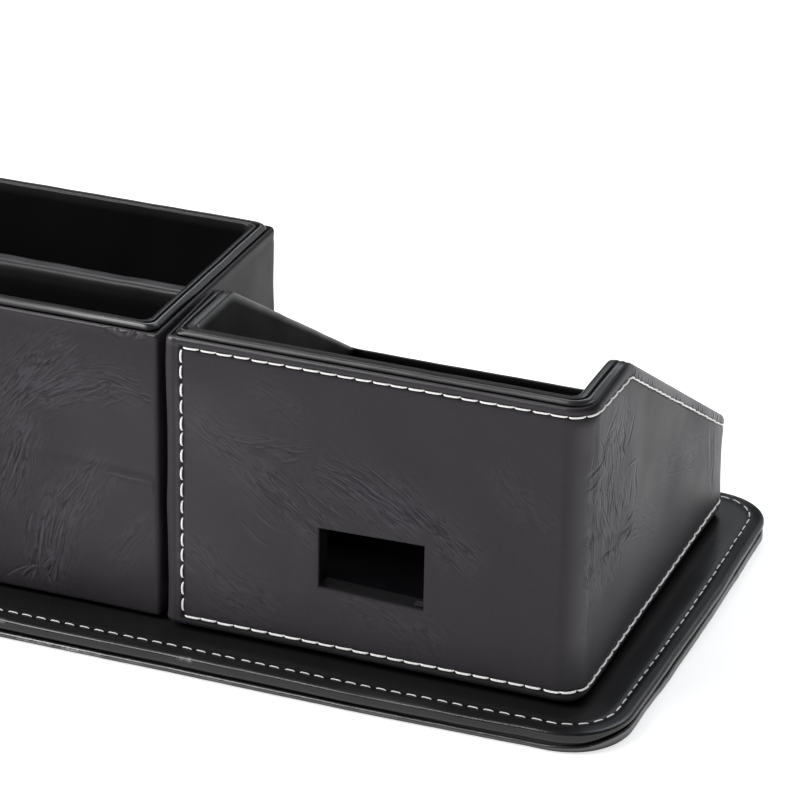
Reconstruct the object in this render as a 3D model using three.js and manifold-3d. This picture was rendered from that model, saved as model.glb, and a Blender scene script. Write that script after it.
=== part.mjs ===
// Desk caddy: a flat stitched leather base carrying two leather-covered boxes side by side.
// The stand box has a high rear wall with an outlet window, sides that slope down to a low
// front wall, and a low stop panel across its floor. The organizer box is plain and upright,
// with one divider across it. Both boxes stand loose on the base on felt pads.
// Units are millimetres, +Z is up, +Y is the low front, -Y is the rear wall with the window.
// The origin is the middle of the base's underside.
import * as THREE from 'three';
import { mergeVertices } from 'three/addons/utils/BufferGeometryUtils.js';
import Module from 'manifold-3d';

const wasm = await Module();
wasm.setup();

// ---------------------------------------------------------------- base
const BASE_L = 243.0; // along X
const BASE_D = 128.5; // along Y
const BASE_R = [16.0, 17.0, 14.0, 16.0]; // corners in plan: rear left, rear right, front right, front left
const BACKING_T = 1.6; // lower layer, seen as a lip under the groove
const BACKING_INSET = 0.4;
const COVER_Z0 = 2.7; // lower end of the leather that is turned down over the edge
const BASE_T = 5.7; // whole base
const BASE_SKIN = 0.8; // leather on top of the board
const BASE_EDGE = 1.25; // leather folded round the board's edge
const BASE_STITCH_INSET = 3.6; // stitch line from the edge
const BASE_THREAD_W = 0.5;

// ---------------------------------------------------------------- stand box
const STAND_W = 100.0;
const STAND_D = 107.2;
const STAND_RIM = [73.35, 74.3, 25.7]; // cover's rim above the base: at the rear, at the peaks of the sides, at the front
const STAND_LINING = [74.45, 74.55, 25.95]; // lining's rim, which stands proud of it
const STAND_PEAK_Y = 26.33; // where the side rims start to slope, from the rear face
const STAND_FRONT_WALL = 1.2; // level part of the rim at the front
const STAND_R = [2.2, 5.0, 5.0, 2.2]; // vertical corners: rear left, rear right, front right, front left
const STAND_X = 60.3; // middle of the box on the base
const STAND_Y = 0.15;
const WINDOW_W = 25.0; // outlet window in the rear wall
const WINDOW_Z0 = 18.2;
const WINDOW_Z1 = 33.2;
const WINDOW_FOLD = 0.4; // leather turned in through the window
const STOP_Y = 52.0; // stop panel's rear face, from the rear face of the box
const STOP_H = 24.0;
const SEAM = [71.4, 70.2, 22.9]; // upper stitch line above the base: at the rear, at its peaks, at the front
const SEAM_PEAK_Y = 27.3;
const STITCH_UP = 3.9; // lower stitch line above the base
const STITCH_IN = 4.1; // upright stitch lines from the rear left corner
const THREAD_W = 0.7;

// ---------------------------------------------------------------- organizer box
const ORG_W = 118.0;
const ORG_D = 68.0;
const ORG_H = 72.0;
const ORG_LINING = 73.4; // lining's rim
const ORG_R = [2.0, 2.0, 2.0, 2.0];
const ORG_X = -51.2;
const ORG_Y = -17.45;
const DIVIDER_Y = 25.6; // divider's rear face, from the rear face of the box
const DIVIDER_DOWN = 1.1; // divider's top below the cover's rim

// ---------------------------------------------------------------- layers of a box wall
const FELT_T = 1.0; // pad under a box
const FELT_IN = 3.0;
const GAP = 0.1; // glue line between layers
const RIM_GROOVE = 0.35; // open joint between cover and lining on the rim
const BOARD_DOWN = 0.1; // the lining is turned over the boards just below the cover's rim
const FLOOR_BOARD_T = 2.5;
const FLOOR_PAD_T = 1.3;

// ---------------------------------------------------------------- finishes
const finish = {
  leather: { color: 0x2f2f32, roughness: 0.5, metalness: 0.0 },
  baseLeather: { color: 0x232326, roughness: 0.45, metalness: 0.0 },
  lining: { color: 0x1d1d20, roughness: 0.6, metalness: 0.0 },
  floorLining: { color: 0x151517, roughness: 0.95, metalness: 0.0 },
  board: { color: 0x2b2927, roughness: 0.9, metalness: 0.0 },
  backing: { color: 0x2a2a2d, roughness: 0.7, metalness: 0.0 },
  felt: { color: 0x121214, roughness: 0.95, metalness: 0.0 },
  thread: { color: 0xe9e9ea, roughness: 0.7, metalness: 0.0 },
};

// ---------------------------------------------------------------- solids
function solid(geometry) {
  const g = geometry.index ? geometry.toNonIndexed() : geometry.clone();
  g.deleteAttribute('normal');
  g.deleteAttribute('uv');
  const m = mergeVertices(g, 1e-4);
  const vertProperties = Float32Array.from(m.attributes.position.array);
  const triVerts = Uint32Array.from(m.index.array);
  return new wasm.Manifold(new wasm.Mesh({ numProp: 3, vertProperties, triVerts }));
}

function geometryOf(manifold) {
  const mesh = manifold.getMesh();
  const n = mesh.vertProperties.length / mesh.numProp;
  const position = new Float32Array(n * 3);
  for (let i = 0; i < n; i++) {
    for (let k = 0; k < 3; k++) position[3 * i + k] = mesh.vertProperties[mesh.numProp * i + k];
  }
  const g = new THREE.BufferGeometry();
  g.setAttribute('position', new THREE.BufferAttribute(position, 3));
  g.setIndex(new THREE.BufferAttribute(Uint32Array.from(mesh.triVerts), 1));
  g.computeVertexNormals();
  return g;
}

function block(x0, x1, y0, y1, z0, z1) {
  const g = new THREE.BoxGeometry(x1 - x0, y1 - y0, z1 - z0);
  g.translate((x0 + x1) / 2, (y0 + y1) / 2, (z0 + z1) / 2);
  return solid(g);
}

// Rounded rectangle in plan; radii run rear left, rear right, front right, front left.
function outline(w, d, radii, inset) {
  const hw = w / 2 - inset;
  const hd = d / 2 - inset;
  const r = radii.map((v) => Math.max(v - inset, 0));
  const corners = [
    [-hw, -hd, 1, 1, Math.PI],
    [hw, -hd, -1, 1, 1.5 * Math.PI],
    [hw, hd, -1, -1, 0],
    [-hw, hd, 1, -1, 0.5 * Math.PI],
  ];
  const shape = new THREE.Shape();
  const points = [];
  corners.forEach(([x, y, sx, sy, a0], i) => {
    const rad = r[i];
    if (rad < 0.2) {
      points.push(new THREE.Vector2(x, y));
      return;
    }
    const steps = rad > 8 ? 10 : rad > 3 ? 6 : 4;
    for (let k = 0; k <= steps; k++) {
      const a = a0 + (k / steps) * (Math.PI / 2);
      points.push(new THREE.Vector2(x + sx * rad + rad * Math.cos(a), y + sy * rad + rad * Math.sin(a)));
    }
  });
  shape.setFromPoints(points);
  return shape;
}

function upright(shape, z0, z1) {
  const g = new THREE.ExtrudeGeometry(shape, { depth: z1 - z0, bevelEnabled: false, curveSegments: 1 });
  g.translate(0, 0, z0);
  return solid(g);
}

// A side view drawn in Y and Z, carried along X.
function across(points, x0, x1) {
  const shape = new THREE.Shape(points.map(([y, z]) => new THREE.Vector2(y, z)));
  const g = new THREE.ExtrudeGeometry(shape, { depth: x1 - x0, bevelEnabled: false });
  g.applyMatrix4(
    new THREE.Matrix4().makeBasis(new THREE.Vector3(0, 1, 0), new THREE.Vector3(0, 0, 1), new THREE.Vector3(1, 0, 0)),
  );
  g.translate(x0, 0, 0);
  return solid(g);
}

const caddy = new THREE.Group();

function piece(group, name, manifold, look) {
  const mesh = new THREE.Mesh(geometryOf(manifold), new THREE.MeshStandardMaterial(finish[look]));
  mesh.name = name;
  group.add(mesh);
}

// ================================================================ base
const base = new THREE.Group();
caddy.add(base);
const basePlan = (inset, z0, z1) => upright(outline(BASE_L, BASE_D, BASE_R, inset), z0, z1);

piece(base, 'base_backing', basePlan(BACKING_INSET, 0, BACKING_T), 'backing');
piece(base, 'base_board', basePlan(BASE_EDGE + GAP, BACKING_T + 0.05, BASE_T - BASE_SKIN - GAP), 'board');
{
  // Leather over the top and turned down round the edge, with a shallow channel for the stitches.
  const cap = basePlan(0, COVER_Z0, BASE_T).subtract(basePlan(BASE_EDGE, COVER_Z0 - 1, BASE_T - BASE_SKIN));
  const lo = BASE_STITCH_INSET - BASE_THREAD_W / 2;
  const hi = BASE_STITCH_INSET + BASE_THREAD_W / 2;
  const channel = basePlan(lo - 0.05, BASE_T - 0.35, BASE_T + 1).subtract(basePlan(hi + 0.05, BASE_T - 1, BASE_T + 2));
  piece(base, 'base_cover', cap.subtract(channel), 'baseLeather');
  const thread = basePlan(lo, BASE_T - 0.3, BASE_T + 0.2).subtract(basePlan(hi, BASE_T - 1, BASE_T + 1));
  piece(base, 'base_stitching', thread, 'thread');
}

// ================================================================ a box of leather, board and lining
// rim(d) gives the side view of everything that lies more than d below the cover's rim, inside the same for the lining's rim.
function makeBox(group, prefix, p) {
  const { w, d, radii, rim, inside, coverT, boardT, liningT, windowCut, windowFold } = p;
  const hw = w / 2;
  const hd = d / 2;
  const top = 200;
  const plan = (inset, z0 = -20, z1 = top) => upright(outline(w, d, radii, inset), z0, z1);
  const square = (inset, z0 = -20, z1 = top) => block(-hw + inset, hw - inset, -hd + inset, hd - inset, z0, z1);
  const z0 = FELT_T; // lower end of the walls
  const below = (depth) => across(rim(depth), -hw - 5, hw + 5);
  const cut = (m) => (windowFold ? m.subtract(windowFold.room) : m);

  // Felt pad under the whole box.
  piece(group, `${prefix}_felt_pad`, plan(FELT_IN, 0.02, FELT_T - 0.05), 'felt');

  // Leather wrapped round the four walls and turned in through the window.
  let cover = plan(0, z0, top).subtract(plan(coverT)).intersect(below(0));
  if (windowCut) cover = cover.subtract(windowCut).add(windowFold.sleeve);
  if (p.channel) cover = cover.subtract(p.channel);
  piece(group, `${prefix}_cover`, cover, 'leather');

  // Boards: rear and front run full width, the sides stand between them.
  const b0 = coverT + GAP;
  const b1 = b0 + boardT;
  const boards = plan(b0, z0 + 0.1, top).subtract(square(b1)).intersect(below(BOARD_DOWN + GAP));
  piece(group, `${prefix}_rear_board`, cut(boards.intersect(block(-hw, hw, -hd, -hd + b1, -20, top))), 'board');
  piece(group, `${prefix}_front_board`, boards.intersect(block(-hw, hw, hd - b1, hd, -20, top)), 'board');
  const between = [-hd + b1 + GAP, hd - b1 - GAP];
  piece(group, `${prefix}_left_board`, boards.intersect(block(-hw, 0, ...between, -20, top)), 'board');
  piece(group, `${prefix}_right_board`, boards.intersect(block(0, hw, ...between, -20, top)), 'board');
  const floorTop = z0 + 0.1 + FLOOR_BOARD_T;
  piece(group, `${prefix}_floor_board`, square(b1 + GAP, z0 + 0.1, floorTop), 'board');

  // Lining inside the boards, turned over their top edges as far as the groove on the rim.
  const l0 = b1 + GAP;
  const l1 = l0 + liningT;
  const hidden = plan(coverT - 0.2).subtract(square(l0)).intersect(below(BOARD_DOWN));
  const lining = plan(coverT + RIM_GROOVE, floorTop + GAP, top)
    .subtract(square(l1))
    .intersect(across(inside, -hw - 5, hw + 5))
    .subtract(hidden);
  piece(group, `${prefix}_rear_lining`, cut(lining.intersect(block(-hw, hw, -hd, -hd + l1, -20, top))), 'lining');
  piece(group, `${prefix}_front_lining`, lining.intersect(block(-hw, hw, hd - l1, hd, -20, top)), 'lining');
  const inner = [-hd + l1 + GAP, hd - l1 - GAP];
  piece(group, `${prefix}_left_lining`, lining.intersect(block(-hw, 0, ...inner, -20, top)), 'lining');
  piece(group, `${prefix}_right_lining`, lining.intersect(block(0, hw, ...inner, -20, top)), 'lining');

  // A panel across the box: a board with lining folded over it.
  const panelY = -hd + p.panelY;
  const panelSkin = 0.9;
  const panelT = p.panelT;
  const xi = hw - l1 - GAP;
  const panelZ = floorTop + GAP;
  const outer = block(-xi, xi, panelY, panelY + panelT, panelZ, p.panelTop);
  const core = block(-xi, xi, panelY + panelSkin, panelY + panelT - panelSkin, panelZ, p.panelTop - panelSkin);
  const room = block(-xi - 5, xi + 5, panelY + panelSkin - 0.05, panelY + panelT - panelSkin + 0.05, panelZ - 5, p.panelTop - panelSkin + 0.05);
  piece(group, `${prefix}_${p.panelName}_board`, core, 'board');
  piece(group, `${prefix}_${p.panelName}_cover`, outer.subtract(room), 'lining');

  // Lining on the floor, one piece on each side of the panel.
  const yi0 = -hd + l1 + GAP;
  const yi1 = hd - l1 - GAP;
  piece(group, `${prefix}_rear_floor_lining`, block(-xi, xi, yi0, panelY - GAP, panelZ, panelZ + FLOOR_PAD_T), 'floorLining');
  piece(group, `${prefix}_front_floor_lining`, block(-xi, xi, panelY + panelT + GAP, yi1, panelZ, panelZ + FLOOR_PAD_T), 'floorLining');
}

// ================================================================ stand box
const stand = new THREE.Group();
stand.position.set(STAND_X, STAND_Y, BASE_T);
caddy.add(stand);
{
  const hw = STAND_W / 2;
  const hd = STAND_D / 2;
  // Side view below a line that rises a little from the rear to a peak and falls from there to the level front.
  const profile = ([rear, peak, front], peakY, t) => {
    const yp = -hd + peakY;
    const rise = (peak - rear) / peakY;
    const fall = (peak - front) / (hd - STAND_FRONT_WALL - yp);
    const k = Math.hypot(1, fall);
    const y1 = yp + (t - t * k) / (rise + fall);
    return [
      [-hd - 5, -10],
      [hd + 5, -10],
      [hd + 5, front - t],
      [yp + (peak - front + t - t * k) / fall, front - t],
      [y1, peak - t + rise * (y1 - yp)],
      [-hd - 5, rear - t - 5 * rise],
    ];
  };
  const rim = (t) => profile(STAND_RIM, STAND_PEAK_Y, t);
  const opening = (e, y0, y1) => block(-WINDOW_W / 2 - e, WINDOW_W / 2 + e, y0, y1, WINDOW_Z0 - e, WINDOW_Z1 + e);
  const windowCut = opening(0, -hd - 5, -hd + 10);
  const windowFold = {
    sleeve: opening(WINDOW_FOLD, -hd + 0.65, -hd + 5.0).subtract(windowCut),
    room: opening(WINDOW_FOLD + GAP, -hd - 5, -hd + 10),
  };

  // White thread: one closed line under the rim, down both sides of the rear left corner and along the foot.
  const threadLoop = (out, deep, half) => {
    const plan = (inset) => upright(outline(STAND_W, STAND_D, STAND_R, inset), -20, 200);
    const skin = plan(-out).subtract(plan(deep));
    const under = (e, x) => across(profile(SEAM, SEAM_PEAK_Y, e), -x, x);
    const upper = under(-half, hw + 5).subtract(under(half, hw + 6));
    const lower = block(-hw - 5, hw + 5, -hd - 5, hd + 5, STITCH_UP - half, STITCH_UP + half);
    const zs = [STITCH_UP - half, SEAM[0] + half];
    const onRear = block(-hw + STITCH_IN - half, -hw + STITCH_IN + half, -hd - 5, -hd + 2, ...zs);
    const onLeft = block(-hw - 5, -hw + 2, -hd + STITCH_IN - half, -hd + STITCH_IN + half, ...zs);
    const corner = block(-hw - 5, -hw + STITCH_IN - half, -hd - 5, -hd + STITCH_IN - half, -20, 200);
    return upper.add(lower).add(onRear).add(onLeft).intersect(skin).subtract(corner);
  };
  makeBox(stand, 'stand', {
    w: STAND_W,
    d: STAND_D,
    radii: STAND_R,
    rim,
    inside: profile(STAND_LINING, STAND_PEAK_Y, 0),
    coverT: 1.3,
    boardT: 2.4,
    liningT: 1.2,
    windowCut,
    windowFold,
    channel: threadLoop(1, 0.35, THREAD_W / 2 + 0.05),
    panelName: 'stop',
    panelY: STOP_Y,
    panelT: 4.2,
    panelTop: STOP_H,
  });
  piece(stand, 'stand_stitching', threadLoop(0.3, 0.3, THREAD_W / 2), 'thread');
}

// ================================================================ organizer box
const organizer = new THREE.Group();
organizer.position.set(ORG_X, ORG_Y, BASE_T);
caddy.add(organizer);
makeBox(organizer, 'organizer', {
  w: ORG_W,
  d: ORG_D,
  radii: ORG_R,
  rim: (t) => [
    [-ORG_D, -10],
    [ORG_D, -10],
    [ORG_D, ORG_H - t],
    [-ORG_D, ORG_H - t],
  ],
  inside: [
    [-ORG_D, -10],
    [ORG_D, -10],
    [ORG_D, ORG_LINING],
    [-ORG_D, ORG_LINING],
  ],
  coverT: 1.2,
  boardT: 2.0,
  liningT: 1.0,
  panelName: 'divider',
  panelY: DIVIDER_Y,
  panelT: 5.4,
  panelTop: ORG_H - DIVIDER_DOWN,
});

export default caddy;
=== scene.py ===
import math

import bpy
import numpy as np
from mathutils import Matrix


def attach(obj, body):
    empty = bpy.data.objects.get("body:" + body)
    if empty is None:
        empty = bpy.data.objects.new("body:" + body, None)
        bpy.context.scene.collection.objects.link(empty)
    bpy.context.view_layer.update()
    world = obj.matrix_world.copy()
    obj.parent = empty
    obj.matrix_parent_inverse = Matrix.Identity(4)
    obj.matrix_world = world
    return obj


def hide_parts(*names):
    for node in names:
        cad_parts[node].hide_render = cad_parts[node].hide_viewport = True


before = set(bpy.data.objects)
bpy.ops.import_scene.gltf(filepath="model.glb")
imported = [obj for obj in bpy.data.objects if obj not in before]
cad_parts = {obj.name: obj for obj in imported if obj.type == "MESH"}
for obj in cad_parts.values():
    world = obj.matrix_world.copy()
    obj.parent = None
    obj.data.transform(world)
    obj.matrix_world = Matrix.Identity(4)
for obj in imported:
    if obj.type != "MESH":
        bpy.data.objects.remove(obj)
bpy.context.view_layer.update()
MM = 0.001

# ------------------------------------------------------------------ sizes shared with the frame
BASE_L, BASE_D, BASE_T = 243.0, 128.5, 5.7
BASE_R = (16.0, 17.0, 14.0, 16.0)
STAND_AT = (60.3, 0.15, BASE_T)
STAND_W, STAND_D = 100.0, 107.2
STAND_RIM, STAND_LINING = (73.35, 74.3, 25.7), (74.45, 74.5, 25.75)
SEAM, SEAM_FOOT, SEAM_IN = (71.4, 70.2, 22.9), 3.9, 4.1
STAND_PEAK, SEAM_PEAK, STAND_LEVEL = 26.33, 27.3, 1.2
STAND_R = (2.2, 6.3, 4.2, 2.2)
ORG_AT = (-51.2, -17.45, BASE_T)
ORG_W, ORG_D, ORG_H, ORG_LINING = 118.0, 68.0, 72.0, 73.4
ORG_R = (2.0, 0.9, 2.0, 2.0)


# ------------------------------------------------------------------ small numeric helpers
def smooth(x, a, b):
    t = np.clip((np.asarray(x, float) - a) / (b - a), 0.0, 1.0)
    return t * t * (3.0 - 2.0 * t)


def soft_min(a, b, k):
    h = np.clip(0.5 + 0.5 * (b - a) / k, 0.0, 1.0)
    return b + (a - b) * h - k * h * (1.0 - h)


def soft_max(a, b, k):
    return -soft_min(-a, -b, k)


class Ripple:
    """Smooth random relief, a sum of plane waves with wavelengths in millimetres."""

    def __init__(self, seed, short, long, count=30):
        r = np.random.default_rng(seed)
        d = r.normal(size=(count, 3))
        d /= np.linalg.norm(d, axis=1)[:, None]
        wave = np.exp(r.uniform(math.log(short), math.log(long), count))
        self.k = d * (2.0 * math.pi / wave)[:, None]
        self.p = r.uniform(0.0, 2.0 * math.pi, count)
        self.n = count

    def __call__(self, p):
        return np.cos(p @ self.k.T + self.p).sum(1) / math.sqrt(self.n / 2.0)


class Plan:
    """Closed outline of a box in plan, rounded at the corners, which can be drawn at any inset.
    It runs along the rear, the right side, the front and the left side."""

    TURN = (math.pi, 1.5 * math.pi, 0.0, 0.5 * math.pi)
    ALONG = ((1, 0), (0, 1), (-1, 0), (0, -1))
    OUT = ((0, -1), (1, 0), (0, 1), (-1, 0))
    SIGN = ((-1, -1), (1, -1), (1, 1), (-1, 1))

    def __init__(self, w, d, radii, steps, arc, marks=(), least=0.35):
        self.hw, self.hd, self.radii, self.least = w / 2.0, d / 2.0, radii, least
        self.items = []
        for i in range(4):
            n = arc[i]
            for k in range(n + 1):
                self.items.append(("c", i, self.TURN[i] + 0.5 * math.pi * k / n))
            a0, a1 = self.ends(i, 0.0)
            stops = [a0, a1] + ([m for m in marks if a0 < m < a1] if i == 0 else [])
            stops.sort()
            values = []
            for s0, s1 in zip(stops[:-1], stops[1:]):
                m = max(1, int(round((s1 - s0) / steps[i])))
                values += [s0 + (s1 - s0) * k / m for k in range(m)]
            for v in values[1:]:
                self.items.append(("s", i, v))
        self.n = len(self.items)
        self.side = np.array([i if kind == "s" else -1 for kind, i, _ in self.items])
        self.corner = np.array([i if kind == "c" else -1 for kind, i, _ in self.items])
        self.out = np.array(
            [
                (math.cos(v), math.sin(v)) if kind == "c" else self.OUT[i]
                for kind, i, v in self.items
            ],
            float,
        )

    def radius(self, i, inset):
        return max(self.radii[i] - inset, self.least)

    def ends(self, i, inset):
        h = self.hw if i in (0, 2) else self.hd
        j = (i + 1) % 4
        return (
            -(h - inset - self.radius(i, inset)),
            h - inset - self.radius(j, inset),
        )

    def at(self, inset):
        pts = np.zeros((self.n, 2))
        span = [(self.ends(i, 0.0), self.ends(i, inset)) for i in range(4)]
        for q, (kind, i, v) in enumerate(self.items):
            if kind == "c":
                r = self.radius(i, inset)
                sx, sy = self.SIGN[i]
                pts[q] = (
                    sx * (self.hw - inset - r) + r * math.cos(v),
                    sy * (self.hd - inset - r) + r * math.sin(v),
                )
            else:
                (a0, a1), (b0, b1) = span[i]
                ease = min(8.0, 0.45 * (a1 - a0))
                if max(abs(b0 - a0), abs(b1 - a1)) > 0.75 * ease:
                    v = b0 + (v - a0) * (b1 - b0) / (a1 - a0)
                else:
                    v = (
                        v
                        + (b0 - a0) * max(0.0, 1.0 - (v - a0) / ease)
                        + (b1 - a1) * max(0.0, 1.0 - (a1 - v) / ease)
                    )
                off = (self.hd if i in (0, 2) else self.hw) - inset
                t, o = self.ALONG[i], self.OUT[i]
                pts[q] = (v * t[0] + off * o[0], v * t[1] + off * o[1])
        return pts


class Shell:
    """Vertices and faces of one piece, gathered row by row."""

    def __init__(self):
        self.v, self.f, self.count = [], [], 0

    def add(self, pts):
        start = self.count
        self.v.append(np.asarray(pts, float))
        self.count += len(pts)
        return np.arange(start, self.count)

    def strip(self, a, b, closed=True, skip=None):
        n = len(a)
        for k in range(n if closed else n - 1):
            j = (k + 1) % n
            if skip is not None and skip(k):
                continue
            self.f.append((a[k], b[k], b[j], a[j]))

    def points(self):
        return np.concatenate(self.v)

    def build(self, name, at, pts=None, flat=False):
        pts = self.points() if pts is None else pts
        mesh = bpy.data.meshes.new(name)
        mesh.from_pydata(
            ((pts + np.array(at)) * MM).tolist(),
            [],
            [tuple(int(i) for i in f) for f in self.f],
        )
        mesh.validate()
        mesh.polygons.foreach_set("use_smooth", [not flat] * len(mesh.polygons))
        mesh.update()
        obj = bpy.data.objects.new(name, mesh)
        bpy.context.scene.collection.objects.link(obj)
        return obj


def store(obj, name, values):
    kind = "FLOAT_VECTOR" if values.ndim == 2 else "FLOAT"
    a = obj.data.attributes.new(name, kind, "POINT")
    a.data.foreach_set(
        "vector" if values.ndim == 2 else "value", values.astype(np.float32).ravel()
    )


def even(a, b, step):
    n = max(1, int(round(abs(b - a) / step)))
    return [a + (b - a) * k / n for k in range(n + 1)]


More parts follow.
